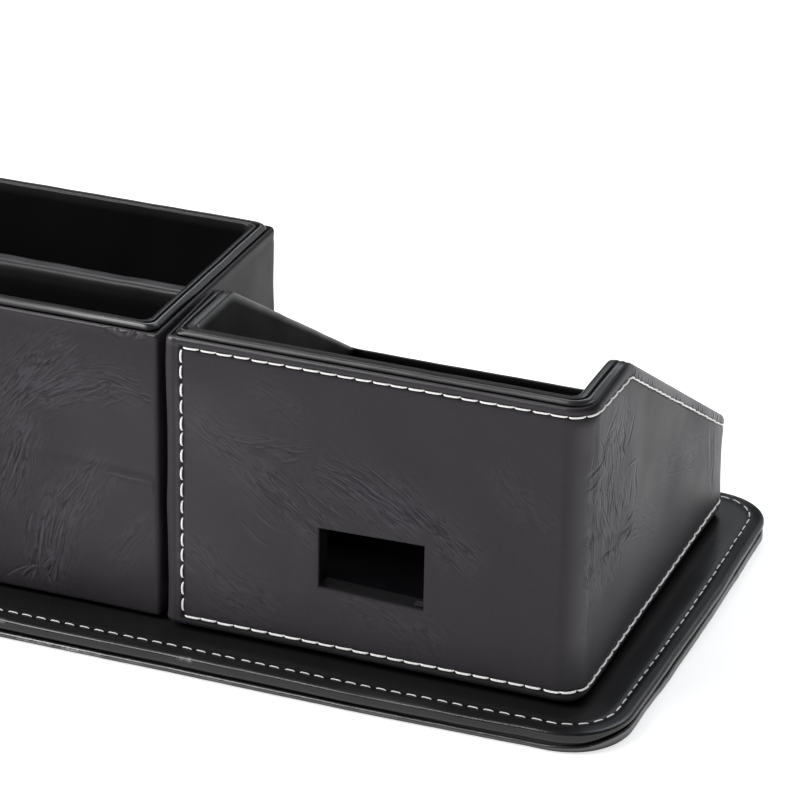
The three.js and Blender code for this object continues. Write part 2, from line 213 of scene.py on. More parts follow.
# ------------------------------------------------------------------ creases in the leather
# Single creases: face, depth (raised where it is negative), width, course.
# A course is drawn on the face: across the rear faces and up, or from the rear along the right face and up.
CREASES = [
    ("rear", -0.035, 0.20, [(-36.7, 52.0), (-34.6, 51.2), (-31.7, 51.0), (-28.5, 51.1), (-25.4, 52.2), (-22.0, 53.4)]),
    ("rear", -0.030, 0.21, [(-42.3, 51.2), (-40.2, 50.1), (-38.2, 49.2), (-36.0, 48.2), (-32.6, 47.8)]),
    ("rear", -0.080, 0.24, [(-28.3, 50.1), (-27.3, 50.4), (-25.9, 50.5)]),
    ("rear", -0.080, 0.20, [(-21.1, 51.3), (-19.9, 51.1), (-18.7, 50.8), (-16.7, 51.3)]),
    ("rear", -0.040, 0.20, [(-25.4, 51.6), (-23.2, 51.4), (-21.1, 51.1)]),
    ("rear", -0.070, 0.19, [(-21.8, 47.9), (-19.8, 48.4), (-17.4, 49.3)]),
    ("rear", -0.045, 0.21, [(-12.9, 46.2), (-10.5, 46.0), (-9.0, 45.3), (-6.9, 44.3), (-4.7, 42.7), (-3.0, 41.6)]),
    ("rear", -0.050, 0.21, [(-6.9, 48.9), (-5.3, 47.8), (-3.1, 46.8), (-1.0, 45.5), (1.0, 44.1), (2.9, 43.5)]),
    ("rear", -0.055, 0.21, [(-3.4, 47.0), (-1.4, 46.1), (-0.0, 45.2), (1.9, 44.1), (4.8, 42.9), (6.9, 41.1)]),
    ("rear", 0.040, 0.21, [(-7.4, 46.6), (-5.2, 45.6), (-3.6, 44.4), (-2.1, 43.3), (0.0, 42.0), (2.0, 40.9)]),
    ("rear", 0.035, 0.21, [(-3.8, 45.9), (-1.9, 45.3), (-0.2, 44.1), (1.9, 43.1), (4.3, 41.8), (6.5, 40.0)]),
    ("rear", -0.045, 0.21, [(-2.1, 44.0), (0.0, 43.4), (2.4, 42.7), (5.3, 41.3)]),
    ("rear", -0.030, 0.21, [(-2.7, 51.3), (-0.8, 50.4), (0.9, 49.3), (3.3, 47.8), (5.9, 46.1), (8.5, 44.6)]),
    ("rear", -0.050, 0.21, [(5.0, 45.2), (6.6, 43.5), (8.6, 41.7), (10.5, 40.1), (12.4, 38.8), (14.5, 37.5)]),
    ("rear", 0.035, 0.21, [(5.7, 45.8), (7.3, 44.2), (9.3, 42.3), (11.2, 40.7), (13.1, 39.4)]),
    ("rear", -0.040, 0.21, [(10.4, 42.1), (12.1, 40.7), (14.0, 39.1), (15.7, 38.0)]),
    ("rear", -0.035, 0.21, [(12.6, 42.3), (14.2, 40.9), (16.6, 39.4), (18.5, 38.3)]),
    ("rear", -0.035, 0.21, [(6.6, 47.5), (7.8, 46.0), (9.7, 44.1)]),
    ("rear", -0.030, 0.22, [(-26.3, 39.9), (-24.4, 38.5), (-22.0, 37.5), (-19.1, 36.3)]),
    ("rear", 0.035, 0.22, [(-28.0, 34.5), (-26.3, 32.9), (-24.4, 31.5), (-21.9, 30.2)]),
    ("rear", -0.035, 0.22, [(-20.7, 37.8), (-19.1, 37.1), (-17.6, 35.9), (-15.9, 34.7), (-14.0, 33.9), (-12.3, 33.0)]),
    ("rear", 0.030, 0.21, [(-16.4, 40.1), (-14.3, 38.8), (-11.8, 37.3), (-9.2, 35.9), (-7.0, 34.8)]),
    ("rear", -0.030, 0.21, [(-15.2, 41.6), (-12.8, 40.1), (-10.7, 38.8), (-8.5, 37.7)]),
    ("rear", -0.030, 0.21, [(-12.9, 45.1), (-10.5, 44.1), (-8.5, 42.5), (-6.1, 41.0)]),
    ("rear", -0.030, 0.22, [(-27.3, 41.7), (-25.4, 40.6), (-22.9, 39.3)]),
    ("rear", 0.035, 0.22, [(-31.7, 31.3), (-29.2, 29.2), (-26.8, 27.2), (-24.3, 25.7)]),
    ("rear", 0.030, 0.22, [(-30.7, 29.7), (-28.2, 27.4), (-26.3, 26.1)]),
    ("rear", -0.030, 0.21, [(-19.1, 43.8), (-17.2, 42.5), (-15.0, 41.2)]),
    ("rear", -0.030, 0.22, [(-24.4, 45.2), (-22.2, 43.7), (-19.6, 42.2)]),
    ("rear", -0.030, 0.21, [(-11.1, 39.7), (-8.7, 38.2), (-6.3, 36.7)]),
    ("org", -0.040, 0.18, [(20.6, 52.0), (21.9, 54.5), (23.5, 56.8)]),
    ("org", -0.035, 0.18, [(19.5, 49.3), (22.1, 52.3), (25.2, 55.4)]),
    ("org", -0.035, 0.18, [(19.9, 46.8), (22.5, 49.6), (25.1, 52.3), (27.2, 54.7)]),
    ("org", -0.055, 0.18, [(24.3, 49.4), (25.6, 50.9), (26.4, 51.6)]),
    ("org", -0.040, 0.18, [(24.5, 46.7), (25.5, 48.4), (27.8, 50.3), (29.7, 52.4)]),
    ("org", -0.030, 0.18, [(28.3, 56.7), (30.8, 60.2), (32.9, 62.3)]),
    ("org", -0.030, 0.18, [(30.3, 56.3), (32.8, 59.0), (35.4, 61.5)]),
    ("org", -0.040, 0.18, [(36.4, 62.9), (37.9, 64.7), (39.7, 66.5)]),
    ("org", -0.040, 0.18, [(27.9, 52.6), (30.7, 54.6), (33.8, 57.0), (36.1, 59.1)]),
    ("org", -0.050, 0.19, [(31.7, 52.3), (34.2, 53.8), (36.7, 55.0), (38.7, 56.2)]),
    ("org", 0.035, 0.19, [(32.2, 51.9), (34.7, 53.1), (37.2, 54.4), (39.7, 55.8)]),
    ("org", -0.050, 0.19, [(36.7, 54.5), (39.7, 55.6), (42.7, 56.7), (45.2, 58.1)]),
    ("org", 0.040, 0.19, [(36.2, 53.7), (39.2, 54.8), (42.2, 55.6), (44.7, 56.8)]),
    ("org", -0.050, 0.18, [(39.7, 53.6), (42.2, 54.8), (44.7, 56.3), (47.0, 58.0)]),
    ("org", -0.040, 0.19, [(44.7, 53.5), (46.7, 55.2), (49.2, 56.6), (51.4, 56.3)]),
    ("org", -0.040, 0.19, [(34.6, 50.4), (37.1, 51.6), (39.7, 52.8)]),
    ("org", -0.040, 0.18, [(44.6, 51.5), (47.1, 53.5), (49.6, 54.5), (51.6, 56.1)]),
    ("org", -0.055, 0.20, [(54.3, 56.9), (55.8, 57.4), (57.5, 57.0)]),
    ("org", -0.070, 0.20, [(55.3, 55.8), (56.3, 55.8), (57.3, 55.7)]),
    ("org", 0.035, 0.19, [(18.9, 28.8), (20.5, 32.2), (22.1, 36.1), (23.2, 38.8)]),
    ("org", 0.050, 0.19, [(20.9, 28.4), (22.0, 31.4), (23.7, 35.3), (24.5, 38.8), (26.1, 42.4)]),
    ("org", -0.035, 0.19, [(21.7, 28.5), (22.8, 31.6), (24.4, 35.5), (25.3, 39.0), (26.9, 42.6)]),
    ("org", 0.030, 0.20, [(22.4, 25.9), (23.0, 29.1), (23.6, 32.3)]),
    ("org", -0.055, 0.18, [(39.8, 35.0), (41.1, 36.0), (42.4, 37.0)]),
    ("org", -0.055, 0.18, [(38.6, 26.6), (40.0, 29.1), (41.3, 31.2)]),
    ("org", -0.030, 0.18, [(34.1, 27.7), (36.2, 30.7), (38.8, 33.7)]),
    ("org", -0.030, 0.18, [(35.6, 26.5), (37.7, 29.4), (40.3, 32.5)]),
    ("org", -0.030, 0.19, [(40.6, 24.9), (41.9, 27.7), (43.0, 30.0)]),
    ("org", -0.070, 0.20, [(27.1, 21.4), (26.5, 19.2), (25.9, 16.2)]),
    ("org", 0.070, 0.25, [(29.4, 19.5), (28.8, 16.8), (28.4, 13.9), (27.8, 10.1)]),
    ("org", -0.040, 0.20, [(30.1, 19.4), (29.5, 16.4), (29.2, 13.5), (28.6, 10.0)]),
    ("org", -0.035, 0.20, [(33.6, 26.0), (32.7, 22.8), (31.9, 19.0), (31.3, 15.2)]),
    ("org", 0.035, 0.19, [(33.2, 18.7), (32.1, 15.4), (31.2, 12.1)]),
    ("org", -0.035, 0.20, [(35.6, 23.9), (34.7, 19.8), (33.8, 15.3), (33.0, 11.4)]),
    ("org", 0.030, 0.19, [(31.5, 23.6), (30.4, 20.2), (29.8, 16.2)]),
    ("org", 0.050, 0.18, [(29.1, 8.3), (30.4, 9.9), (31.7, 11.4)]),
    ("org", -0.100, 0.35, [(26.6, 7.5), (27.3, 7.5), (27.9, 7.5)]),
    ("org", -0.050, 0.24, [(27.0, 7.3), (24.9, 6.9), (22.3, 5.3), (19.7, 3.1)]),
    ("org", -0.050, 0.23, [(26.5, 7.2), (24.9, 5.8), (23.8, 4.3)]),
    ("org", 0.050, 0.23, [(26.9, 6.8), (25.4, 5.4), (24.6, 3.9)]),
    ("org", -0.050, 0.24, [(27.8, 6.9), (26.9, 5.2), (26.4, 3.8)]),
    ("org", 0.050, 0.23, [(31.7, 8.8), (30.6, 7.0), (29.8, 5.8)]),
    ("org", -0.045, 0.20, [(32.9, 8.3), (32.6, 6.4), (32.1, 4.4)]),
    ("org", -0.040, 0.23, [(30.6, 5.7), (31.0, 4.8), (31.5, 3.8)]),
    ("org", -0.040, 0.26, [(45.3, 35.6), (48.4, 35.9), (50.1, 35.7), (52.1, 35.6), (57.3, 35.6)]),
    ("org", -0.090, 0.34, [(46.2, 72.1), (46.9, 72.0), (47.9, 71.7)]),
    ("org", -0.090, 0.37, [(48.4, 71.5), (49.4, 71.2), (50.4, 70.9)]),
    ("org", -0.090, 0.25, [(51.6, 70.8), (52.6, 71.6), (53.6, 72.1)]),
    ("org", -0.090, 0.27, [(53.9, 70.6), (54.3, 70.9), (54.9, 71.3)]),
    ("org", -0.090, 0.27, [(55.0, 71.0), (55.4, 71.3), (56.0, 71.7)]),
    ("right", 0.100, 0.55, [(18.0, 66.3), (15.1, 64.9), (11.7, 62.6), (9.8, 61.3)]),
    ("right", 0.130, 0.52, [(16.8, 62.5), (14.1, 62.3), (10.9, 60.8), (10.2, 58.2), (7.9, 57.3), (5.2, 57.3), (3.7, 56.4), (1.2, 54.9)]),
    ("right", 0.110, 0.47, [(10.2, 55.3), (7.9, 54.9), (5.0, 53.6), (2.7, 52.9)]),
    ("right", 0.090, 0.48, [(22.9, 60.5), (24.7, 57.0), (23.3, 54.4), (25.8, 51.6)]),
    ("right", 0.100, 0.66, [(30.7, 59.7), (29.3, 56.6), (27.5, 54.5), (26.2, 53.9)]),
    ("right", 0.090, 0.35, [(33.4, 47.6), (30.5, 48.2), (28.3, 48.5), (24.9, 47.5)]),
    ("right", 0.080, 0.65, [(20.7, 61.7), (19.2, 59.5), (18.8, 57.2)]),
    ("right", 0.080, 0.38, [(6.8, 64.1), (9.1, 61.1), (10.6, 57.5), (12.3, 54.3)]),
    ("right", 0.090, 0.64, [(33.9, 46.4), (33.0, 42.8), (34.6, 39.1), (32.8, 36.1)]),
    ("right", 0.080, 0.27, [(7.1, 52.6), (9.4, 50.3), (11.4, 47.9)]),
    ("right", 0.090, 0.67, [(30.3, 44.1), (29.8, 40.1), (29.0, 37.9), (27.8, 36.8)]),
    ("right", 0.080, 0.55, [(20.1, 58.1), (22.1, 53.5), (21.1, 50.3)]),
    ("right", 0.080, 0.62, [(15.3, 57.8), (16.7, 52.3), (14.3, 49.8), (13.3, 46.5)]),
    ("right", 0.080, 0.65, [(18.5, 49.0), (17.0, 44.8), (15.4, 41.1)]),
    ("right", -0.090, 0.44, [(32.2, 35.4), (30.1, 34.9), (27.3, 35.0), (25.6, 34.3)]),
    ("right", 0.110, 0.44, [(33.4, 34.6), (31.3, 34.1), (28.5, 34.2), (26.8, 33.5)]),
    ("right", -0.090, 0.27, [(33.3, 32.2), (30.5, 32.5), (26.8, 33.1), (23.9, 33.8), (21.1, 34.4)]),
    ("right", 0.110, 0.35, [(34.2, 31.3), (31.3, 31.4), (27.7, 32.0), (24.8, 32.7), (23.1, 32.3), (21.4, 31.9), (20.1, 31.3), (17.9, 31.6)]),
    ("right", 0.150, 0.63, [(32.4, 31.3), (31.1, 30.4), (29.4, 30.0), (27.3, 29.7)]),
    ("right", -0.080, 0.56, [(32.6, 29.7), (31.3, 28.8), (29.9, 28.4)]),
    ("right", 0.100, 0.43, [(28.5, 31.5), (26.4, 31.4), (24.7, 31.0)]),
    ("right", -0.080, 0.52, [(26.4, 31.1), (24.0, 30.9), (22.3, 30.1), (20.7, 29.1)]),
    ("right", -0.080, 0.29, [(20.6, 32.4), (18.2, 32.3), (14.3, 33.2), (10.8, 33.7)]),
    ("right", 0.080, 0.27, [(19.3, 31.5), (15.8, 32.2), (12.3, 32.8)]),
    ("right", 0.090, 0.31, [(13.0, 32.1), (14.3, 30.5), (15.9, 28.4)]),
    ("right", -0.070, 0.67, [(29.2, 39.1), (28.8, 37.3), (27.1, 36.3)]),
    ("right", 0.080, 0.63, [(24.6, 44.4), (25.7, 42.0), (24.5, 40.0), (23.8, 37.9)]),
    ("right", 0.080, 0.40, [(18.9, 43.4), (20.2, 40.8), (21.6, 38.2)]),
    ("right", -0.070, 0.39, [(8.7, 51.1), (9.9, 49.1), (10.4, 47.9)]),
    ("right", -0.070, 0.33, [(10.8, 44.5), (12.9, 41.8), (15.0, 38.6)]),
    ("right", 0.080, 0.34, [(12.0, 44.7), (13.9, 41.6), (16.4, 38.1)]),
    ("right", 0.080, 0.37, [(8.9, 43.4), (10.7, 40.4), (13.2, 36.7), (14.5, 34.1)]),
    ("right", 0.070, 0.42, [(6.5, 43.6), (8.3, 40.3), (9.3, 37.3)]),
    ("right", -0.070, 0.22, [(2.4, 41.1), (4.0, 39.7), (5.5, 38.5)]),
    ("right", 0.060, 0.24, [(32.5, 28.1), (35.5, 27.3), (39.2, 26.3)]),
    ("right", 0.060, 0.25, [(32.3, 29.6), (34.5, 29.2), (36.0, 28.7)]),
    ("right", -0.060, 0.19, [(39.6, 28.6), (43.6, 26.0), (46.0, 24.3)]),
    ("right", 0.060, 0.40, [(19.3, 26.3), (20.2, 24.6), (20.7, 23.6)]),
    ("right", -0.100, 0.30, [(12.8, 48.8), (13.3, 48.3), (13.8, 47.8)]),
    ("right", -0.100, 0.29, [(1.6, 35.6), (2.1, 35.1), (2.6, 34.6)]),
    ("right", -0.100, 0.29, [(6.6, 33.1), (7.2, 32.6), (7.7, 32.1)]),
    ("right", -0.100, 0.30, [(10.3, 30.8), (10.8, 30.3), (11.3, 29.8)]),
    ("right", -0.100, 0.29, [(3.7, 32.3), (4.2, 31.8), (4.8, 31.3)]),
    ("right", -0.100, 0.30, [(25.5, 63.6), (26.0, 63.1), (26.6, 62.6)]),
    ("right", -0.100, 0.23, [(53.6, 35.9), (54.9, 35.3), (56.4, 34.5)]),
    ("right", -0.070, 0.18, [(56.9, 35.9), (58.5, 35.1), (61.0, 33.8)]),
    ("right", -0.070, 0.24, [(71.5, 29.5), (74.0, 28.7), (75.6, 28.4)]),
    ("right", -0.070, 0.34, [(75.8, 27.0), (78.1, 27.0), (80.9, 26.6)]),
    ("right", -0.060, 0.29, [(65.1, 31.9), (66.0, 31.0), (66.9, 30.0)]),
    ("right", -0.060, 0.38, [(72.8, 26.5), (73.9, 26.5), (75.1, 26.5)]),
    ("right", -0.070, 0.95, [(91.0, 30.1), (92.6, 22.7), (93.6, 14.8)]),
    ("right", 0.070, 0.92, [(96.4, 17.0), (96.1, 14.5), (95.8, 11.4)]),
    ("right", -0.060, 0.84, [(96.9, 26.2), (97.2, 22.0), (97.7, 17.2)]),
]
# Patches where the pebbled grain stands out and a bluish sheen is painted on: face, middle, half sizes, strength.
PEBBLES = [
    ("right", (2.0, 42.0), (4.0, 24.0), 0.9),
    ("right", (19.0, 50.0), (11.0, 17.0), 0.8),
    ("right", (69.0, 30.0), (15.0, 6.0), 1.0),
    ("right", (42.0, 26.0), (10.0, 8.0), 0.5),
    ("rear", (-25.0, 17.5), (7.0, 4.0), 0.6),
    ("rear", (-37.0, 50.0), (7.0, 5.0), 0.4),
    ("rear", (4.0, 43.0), (13.0, 7.0), 0.4),
    ("rear", (-35.0, 13.0), (13.0, 8.0), 0.35),
    ("rear", (6.0, 13.5), (15.0, 7.0), 0.35),
    ("org", (27.0, 7.0), (7.0, 5.0), 0.5),
    ("org", (45.0, 57.0), (14.0, 4.0), 0.35),
]
LAYERS = 7
# Patches of fine wrinkles that run along a course: face, half width, distance between lines, strength, course.
WRINKLES = [
    ("rear", 6.0, 1.4, 0.65, [(-46.0, 56.5), (-37.7, 50.1), (-28.0, 44.5)]),
    ("rear", 4.5, 1.4, 0.55, [(-38.0, 51.0), (-26.3, 50.8), (-13.0, 52.5)]),
    ("rear", 8.0, 1.35, 0.85, [(-31.0, 47.5), (-20.5, 38.7), (-8.0, 29.5)]),
    ("rear", 7.0, 1.35, 0.95, [(-15.0, 49.0), (-1.0, 43.5), (11.0, 35.5)]),
    ("rear", 6.0, 1.35, 0.95, [(1.0, 48.5), (14.0, 38.3), (26.0, 30.0)]),
    ("rear", 9.0, 1.5, 0.60, [(-48.0, 23.0), (-36.6, 13.7), (-21.0, 7.0)]),
    ("rear", 7.5, 1.5, 0.50, [(-9.0, 20.0), (4.8, 14.9), (20.0, 7.0)]),
    ("rear", 6.0, 1.5, 0.35, [(28.0, 60.0), (34.0, 50.0), (44.0, 42.0)]),
    ("rear", 5.0, 1.4, 0.45, [(-30.0, 66.0), (-22.5, 62.8), (-15.0, 58.0)]),
    ("right", 11.0, 3.0, 1.6, [(22.0, 69.0), (16.5, 54.0), (17.0, 36.0), (19.0, 22.0)]),
    ("right", 8.0, 2.6, 1.4, [(9.0, 66.0), (7.5, 48.0), (6.0, 22.0)]),
    ("right", 6.0, 1.3, 0.9, [(34.0, 38.0), (21.0, 33.0), (4.0, 30.0)]),
    ("right", 5.0, 2.2, 1.0, [(1.5, 60.0), (1.0, 40.0), (1.5, 12.0)]),
    ("right", 8.0, 1.6, 0.5, [(50.0, 36.0), (68.3, 30.7), (88.0, 25.0)]),
    ("right", 8.0, 1.6, 0.4, [(30.0, 38.0), (42.9, 27.5), (56.0, 17.0)]),
    ("right", 5.0, 2.4, 0.6, [(93.0, 33.0), (94.6, 20.7), (96.0, 6.0)]),
    ("org", 8.5, 1.35, 0.95, [(15.0, 40.0), (27.2, 56.5), (40.0, 68.0)]),
    ("org", 5.5, 1.35, 0.95, [(25.0, 49.5), (37.2, 55.6), (46.0, 58.8), (58.0, 57.1)]),
    ("org", 6.0, 1.5, 0.90, [(28.5, 47.0), (24.7, 38.4), (22.7, 30.3), (18.0, 20.0)]),
    ("org", 7.5, 1.5, 0.95, [(37.0, 31.0), (31.9, 18.0), (30.7, 9.9), (29.5, 1.5)]),
    ("org", 7.0, 1.4, 0.80, [(46.0, 40.0), (40.5, 31.0), (34.0, 21.0)]),
    ("org", 5.0, 1.4, 0.55, [(47.0, 12.0), (53.1, 20.8), (58.0, 28.0)]),
    ("org", 9.0, 1.5, 0.70, [(-34.0, 66.0), (-18.0, 50.0), (-8.0, 28.0)]),
    ("org", 8.0, 1.5, 0.60, [(-54.0, 18.0), (-38.0, 26.0), (-18.0, 22.0)]),
]
FIELDS = 4


def bend(course, ease=12):
    """A smooth line through the points of a course."""
    c = np.array(course, float)
    seg = np.r_[0.0, np.cumsum(np.linalg.norm(np.diff(c, axis=0), axis=1))]
    s = np.linspace(0.0, seg[-1], 60)
    line = np.c_[np.interp(s, seg, c[:, 0]), np.interp(s, seg, c[:, 1])]
    for _ in range(ease):
        line[1:-1] = 0.25 * line[:-2] + 0.5 * line[1:-1] + 0.25 * line[2:]
    return line, seg[-1]


def draw_creases(faces):
    """Single strokes, each a line of points on a face with a depth and a width."""
    strokes = []
    for face, deep, width, course in CREASES:
        if face in faces:
            line, _ = bend(course, 3)
            if face == "right":
                deep *= 1.4
            elif deep < 0.0:
                deep *= 3.0 if deep < -0.085 else 2.1
            else:
                deep *= 1.4
            width *= 0.85 if face == "right" else 1.2
            line = line[np.linspace(0, 59, 13).astype(int)]
            # drawn so that the flank facing the light is always on the same hand
            run = line[-1] - line[0]
            if run @ (np.array((0.3, -1.0)) if face == "right" else np.array((1.0, 1.0))) < 0.0:
                line = line[::-1]
            strokes.append((face, line, deep, width))
    return strokes


def lay_creases(strokes, face_of, u, v):
    """Spreads the strokes over layers, so that strokes in one layer stay apart, and gives for every vertex
    the signed distance to its stroke, the stroke's depth there and its width."""
    n = len(u)
    layers = [np.tile((9.0, 0.0, 0.2), (n, 1)) for _ in range(LAYERS)]
    taken = [[] for _ in range(LAYERS)]
    for face, pts, deep, width in strokes:
        dense = np.c_[
            np.interp(np.linspace(0, 12, 40), np.arange(13), pts[:, 0]),
            np.interp(np.linspace(0, 12, 40), np.arange(13), pts[:, 1]),
        ]
        reach = 2.4 * width + 0.5
        for k in range(LAYERS):
            ok = True
            for other_face, other, other_reach in taken[k]:
                if other_face != face:
                    continue
                if (
                    np.abs(other.mean(0) - dense.mean(0)).max() < 40
                    and np.min(
                        np.linalg.norm(other[:, None] - dense[None], axis=2)
                    )
                    < reach + other_reach
                ):
                    ok = False
                    break
            if ok:
                break
        else:
            continue
        taken[k].append((face, dense, reach))
        lo, hi = dense.min(0) - reach, dense.max(0) + reach
        near = np.where(
            (face_of == face) & (u > lo[0]) & (u < hi[0]) & (v > lo[1]) & (v < hi[1])
        )[0]
        if not len(near):
            continue
        q = np.c_[u[near], v[near]]
        best = np.full(len(near), 1e9)
        sign = np.zeros(len(near))
        along = np.zeros(len(near))
        for i in range(len(pts) - 1):
            a, b = pts[i], pts[i + 1]
            d = b - a
            ll = d @ d
            if ll < 1e-9:
                continue
            t = np.clip(((q - a) @ d) / ll, 0, 1)
            off = q - (a + t[:, None] * d)
            dist = np.linalg.norm(off, axis=1)
            better = dist < best
            best = np.where(better, dist, best)
            sign = np.where(better, np.sign(d[0] * off[:, 1] - d[1] * off[:, 0]), sign)
            along = np.where(better, (i + t) / (len(pts) - 1), along)
        keep = best < reach
        taper = np.sin(math.pi * np.clip(along, 0.02, 0.98)) ** 0.7
        rows = near[keep]
        layers[k][rows, 0] = (best * sign)[keep]
        layers[k][rows, 1] = (deep * taper)[keep]
        layers[k][rows, 2] = width
    return layers


def lay_wrinkles(face_of, u, v):
    """For every vertex the place across and along the course of its patch of wrinkles, and how strong they are."""
    n = len(u)
    layers = [np.zeros((n, 3)) for _ in range(FIELDS)]
    for number, (face, half, cell, strong, course) in enumerate(WRINKLES):
        line, total = bend(course)
        reach = 1.7 * half
        lo, hi = line.min(0) - reach, line.max(0) + reach
        near = np.where(
            (face_of == face) & (u > lo[0]) & (u < hi[0]) & (v > lo[1]) & (v < hi[1])
        )[0]
        if not len(near):
            continue
        q = np.c_[u[near], v[near]]
        best = np.full(len(near), 1e9)
        side, along = np.zeros(len(near)), np.zeros(len(near))
        at = np.r_[0.0, np.cumsum(np.linalg.norm(np.diff(line, axis=0), axis=1))]
        for i in range(len(line) - 1):
            a, d = line[i], line[i + 1] - line[i]
            t = ((q - a) @ d) / (d @ d)
            t = np.clip(t, -20.0 if i == 0 else 0.0, 21.0 if i == len(line) - 2 else 1.0)
            off = q - (a + t[:, None] * d)
            dist = np.linalg.norm(off, axis=1)
            better = dist < best
            best = np.where(better, dist, best)
            cross = (d[0] * off[:, 1] - d[1] * off[:, 0]) / np.linalg.norm(d)
            side = np.where(better, cross, side)
            along = np.where(better, at[i] + t * np.linalg.norm(d), along)
        ends = smooth(along, -0.25 * half, 0.22 * total) * (
            1.0 - smooth(along, 0.78 * total, total + 0.25 * half)
        )
        mask = strong * np.exp(-1.6 * (side / half) ** 2) * ends
        mask[mask < 0.04] = 0.0
        rows = near[mask > 0]
        for k in range(FIELDS):
            if not np.any(layers[k][rows, 2] > 0):
                break
        else:
            k = int(np.argmin([layers[j][rows, 2].sum() for j in range(FIELDS)]))
            free = layers[k][rows, 2] < mask[mask > 0]
            rows = rows[free]
            layers[k][rows] = np.c_[side / cell + 53.0 * number, along / 12.0, mask][mask > 0][free]
            continue
        layers[k][rows] = np.c_[side / cell + 53.0 * number, along / 12.0, mask][mask > 0]
    return layers


def pebble_mask(face_of, u, v):
    m = np.zeros(len(u))
    for face, mid, half, strong in PEBBLES:
        e = ((u - mid[0]) / half[0]) ** 2 + ((v - mid[1]) / half[1]) ** 2
        m = np.maximum(m, np.where(face_of == face, strong * np.exp(-1.3 * e), 0.0))
    return m


# ------------------------------------------------------------------ stand box
def sloping(y, heights, peak, soft):
    """Height of a line along the sides: it rises a little to a peak and falls from there to the level front."""
    rear, top, front = heights
    yy = np.asarray(y, float) + STAND_D / 2.0
    fall = (top - front) / (STAND_D - STAND_LEVEL - peak)
    climb = rear + (top - rear) / peak * np.clip(yy - 3.0, 0.0, None) * peak / (peak - 3.0)
    line = top - fall * (yy - peak)
    return soft_max(soft_min(line, climb, soft), front + 0.0 * line, 0.5)


def stand_rim(y):
    return sloping(y, STAND_RIM, STAND_PEAK, 1.4)


def stand_inner(y):
    return sloping(y, STAND_LINING, STAND_PEAK, 1.4)


def seam_line(y):
    return sloping(y, SEAM, SEAM_PEAK, 0.35)


def org_rim(y):
    return ORG_H + 0.0 * np.asarray(y, float)


def org_inner(y):
    return ORG_LINING + 0.0 * np.asarray(y, float)


WINDOW_X, LIP = 12.5, 0.45


def window_shift(x, z):
    """The opening was cut by hand and widens a little to the right."""
    xc = np.clip(x, -13.0, 13.0)
    side = 1.0 - smooth(np.abs(x), 13.5, 24.0)
    hi = smooth(z, 26.0, 33.0) * (1.0 - smooth(z, 34.2, 48.0))
    lo = (1.0 - smooth(z, 18.5, 25.5)) * smooth(z, 7.0, 17.2)
    return side * (hi * (0.07 + 0.0253 * xc) + lo * (-0.2 - 0.031 * xc))


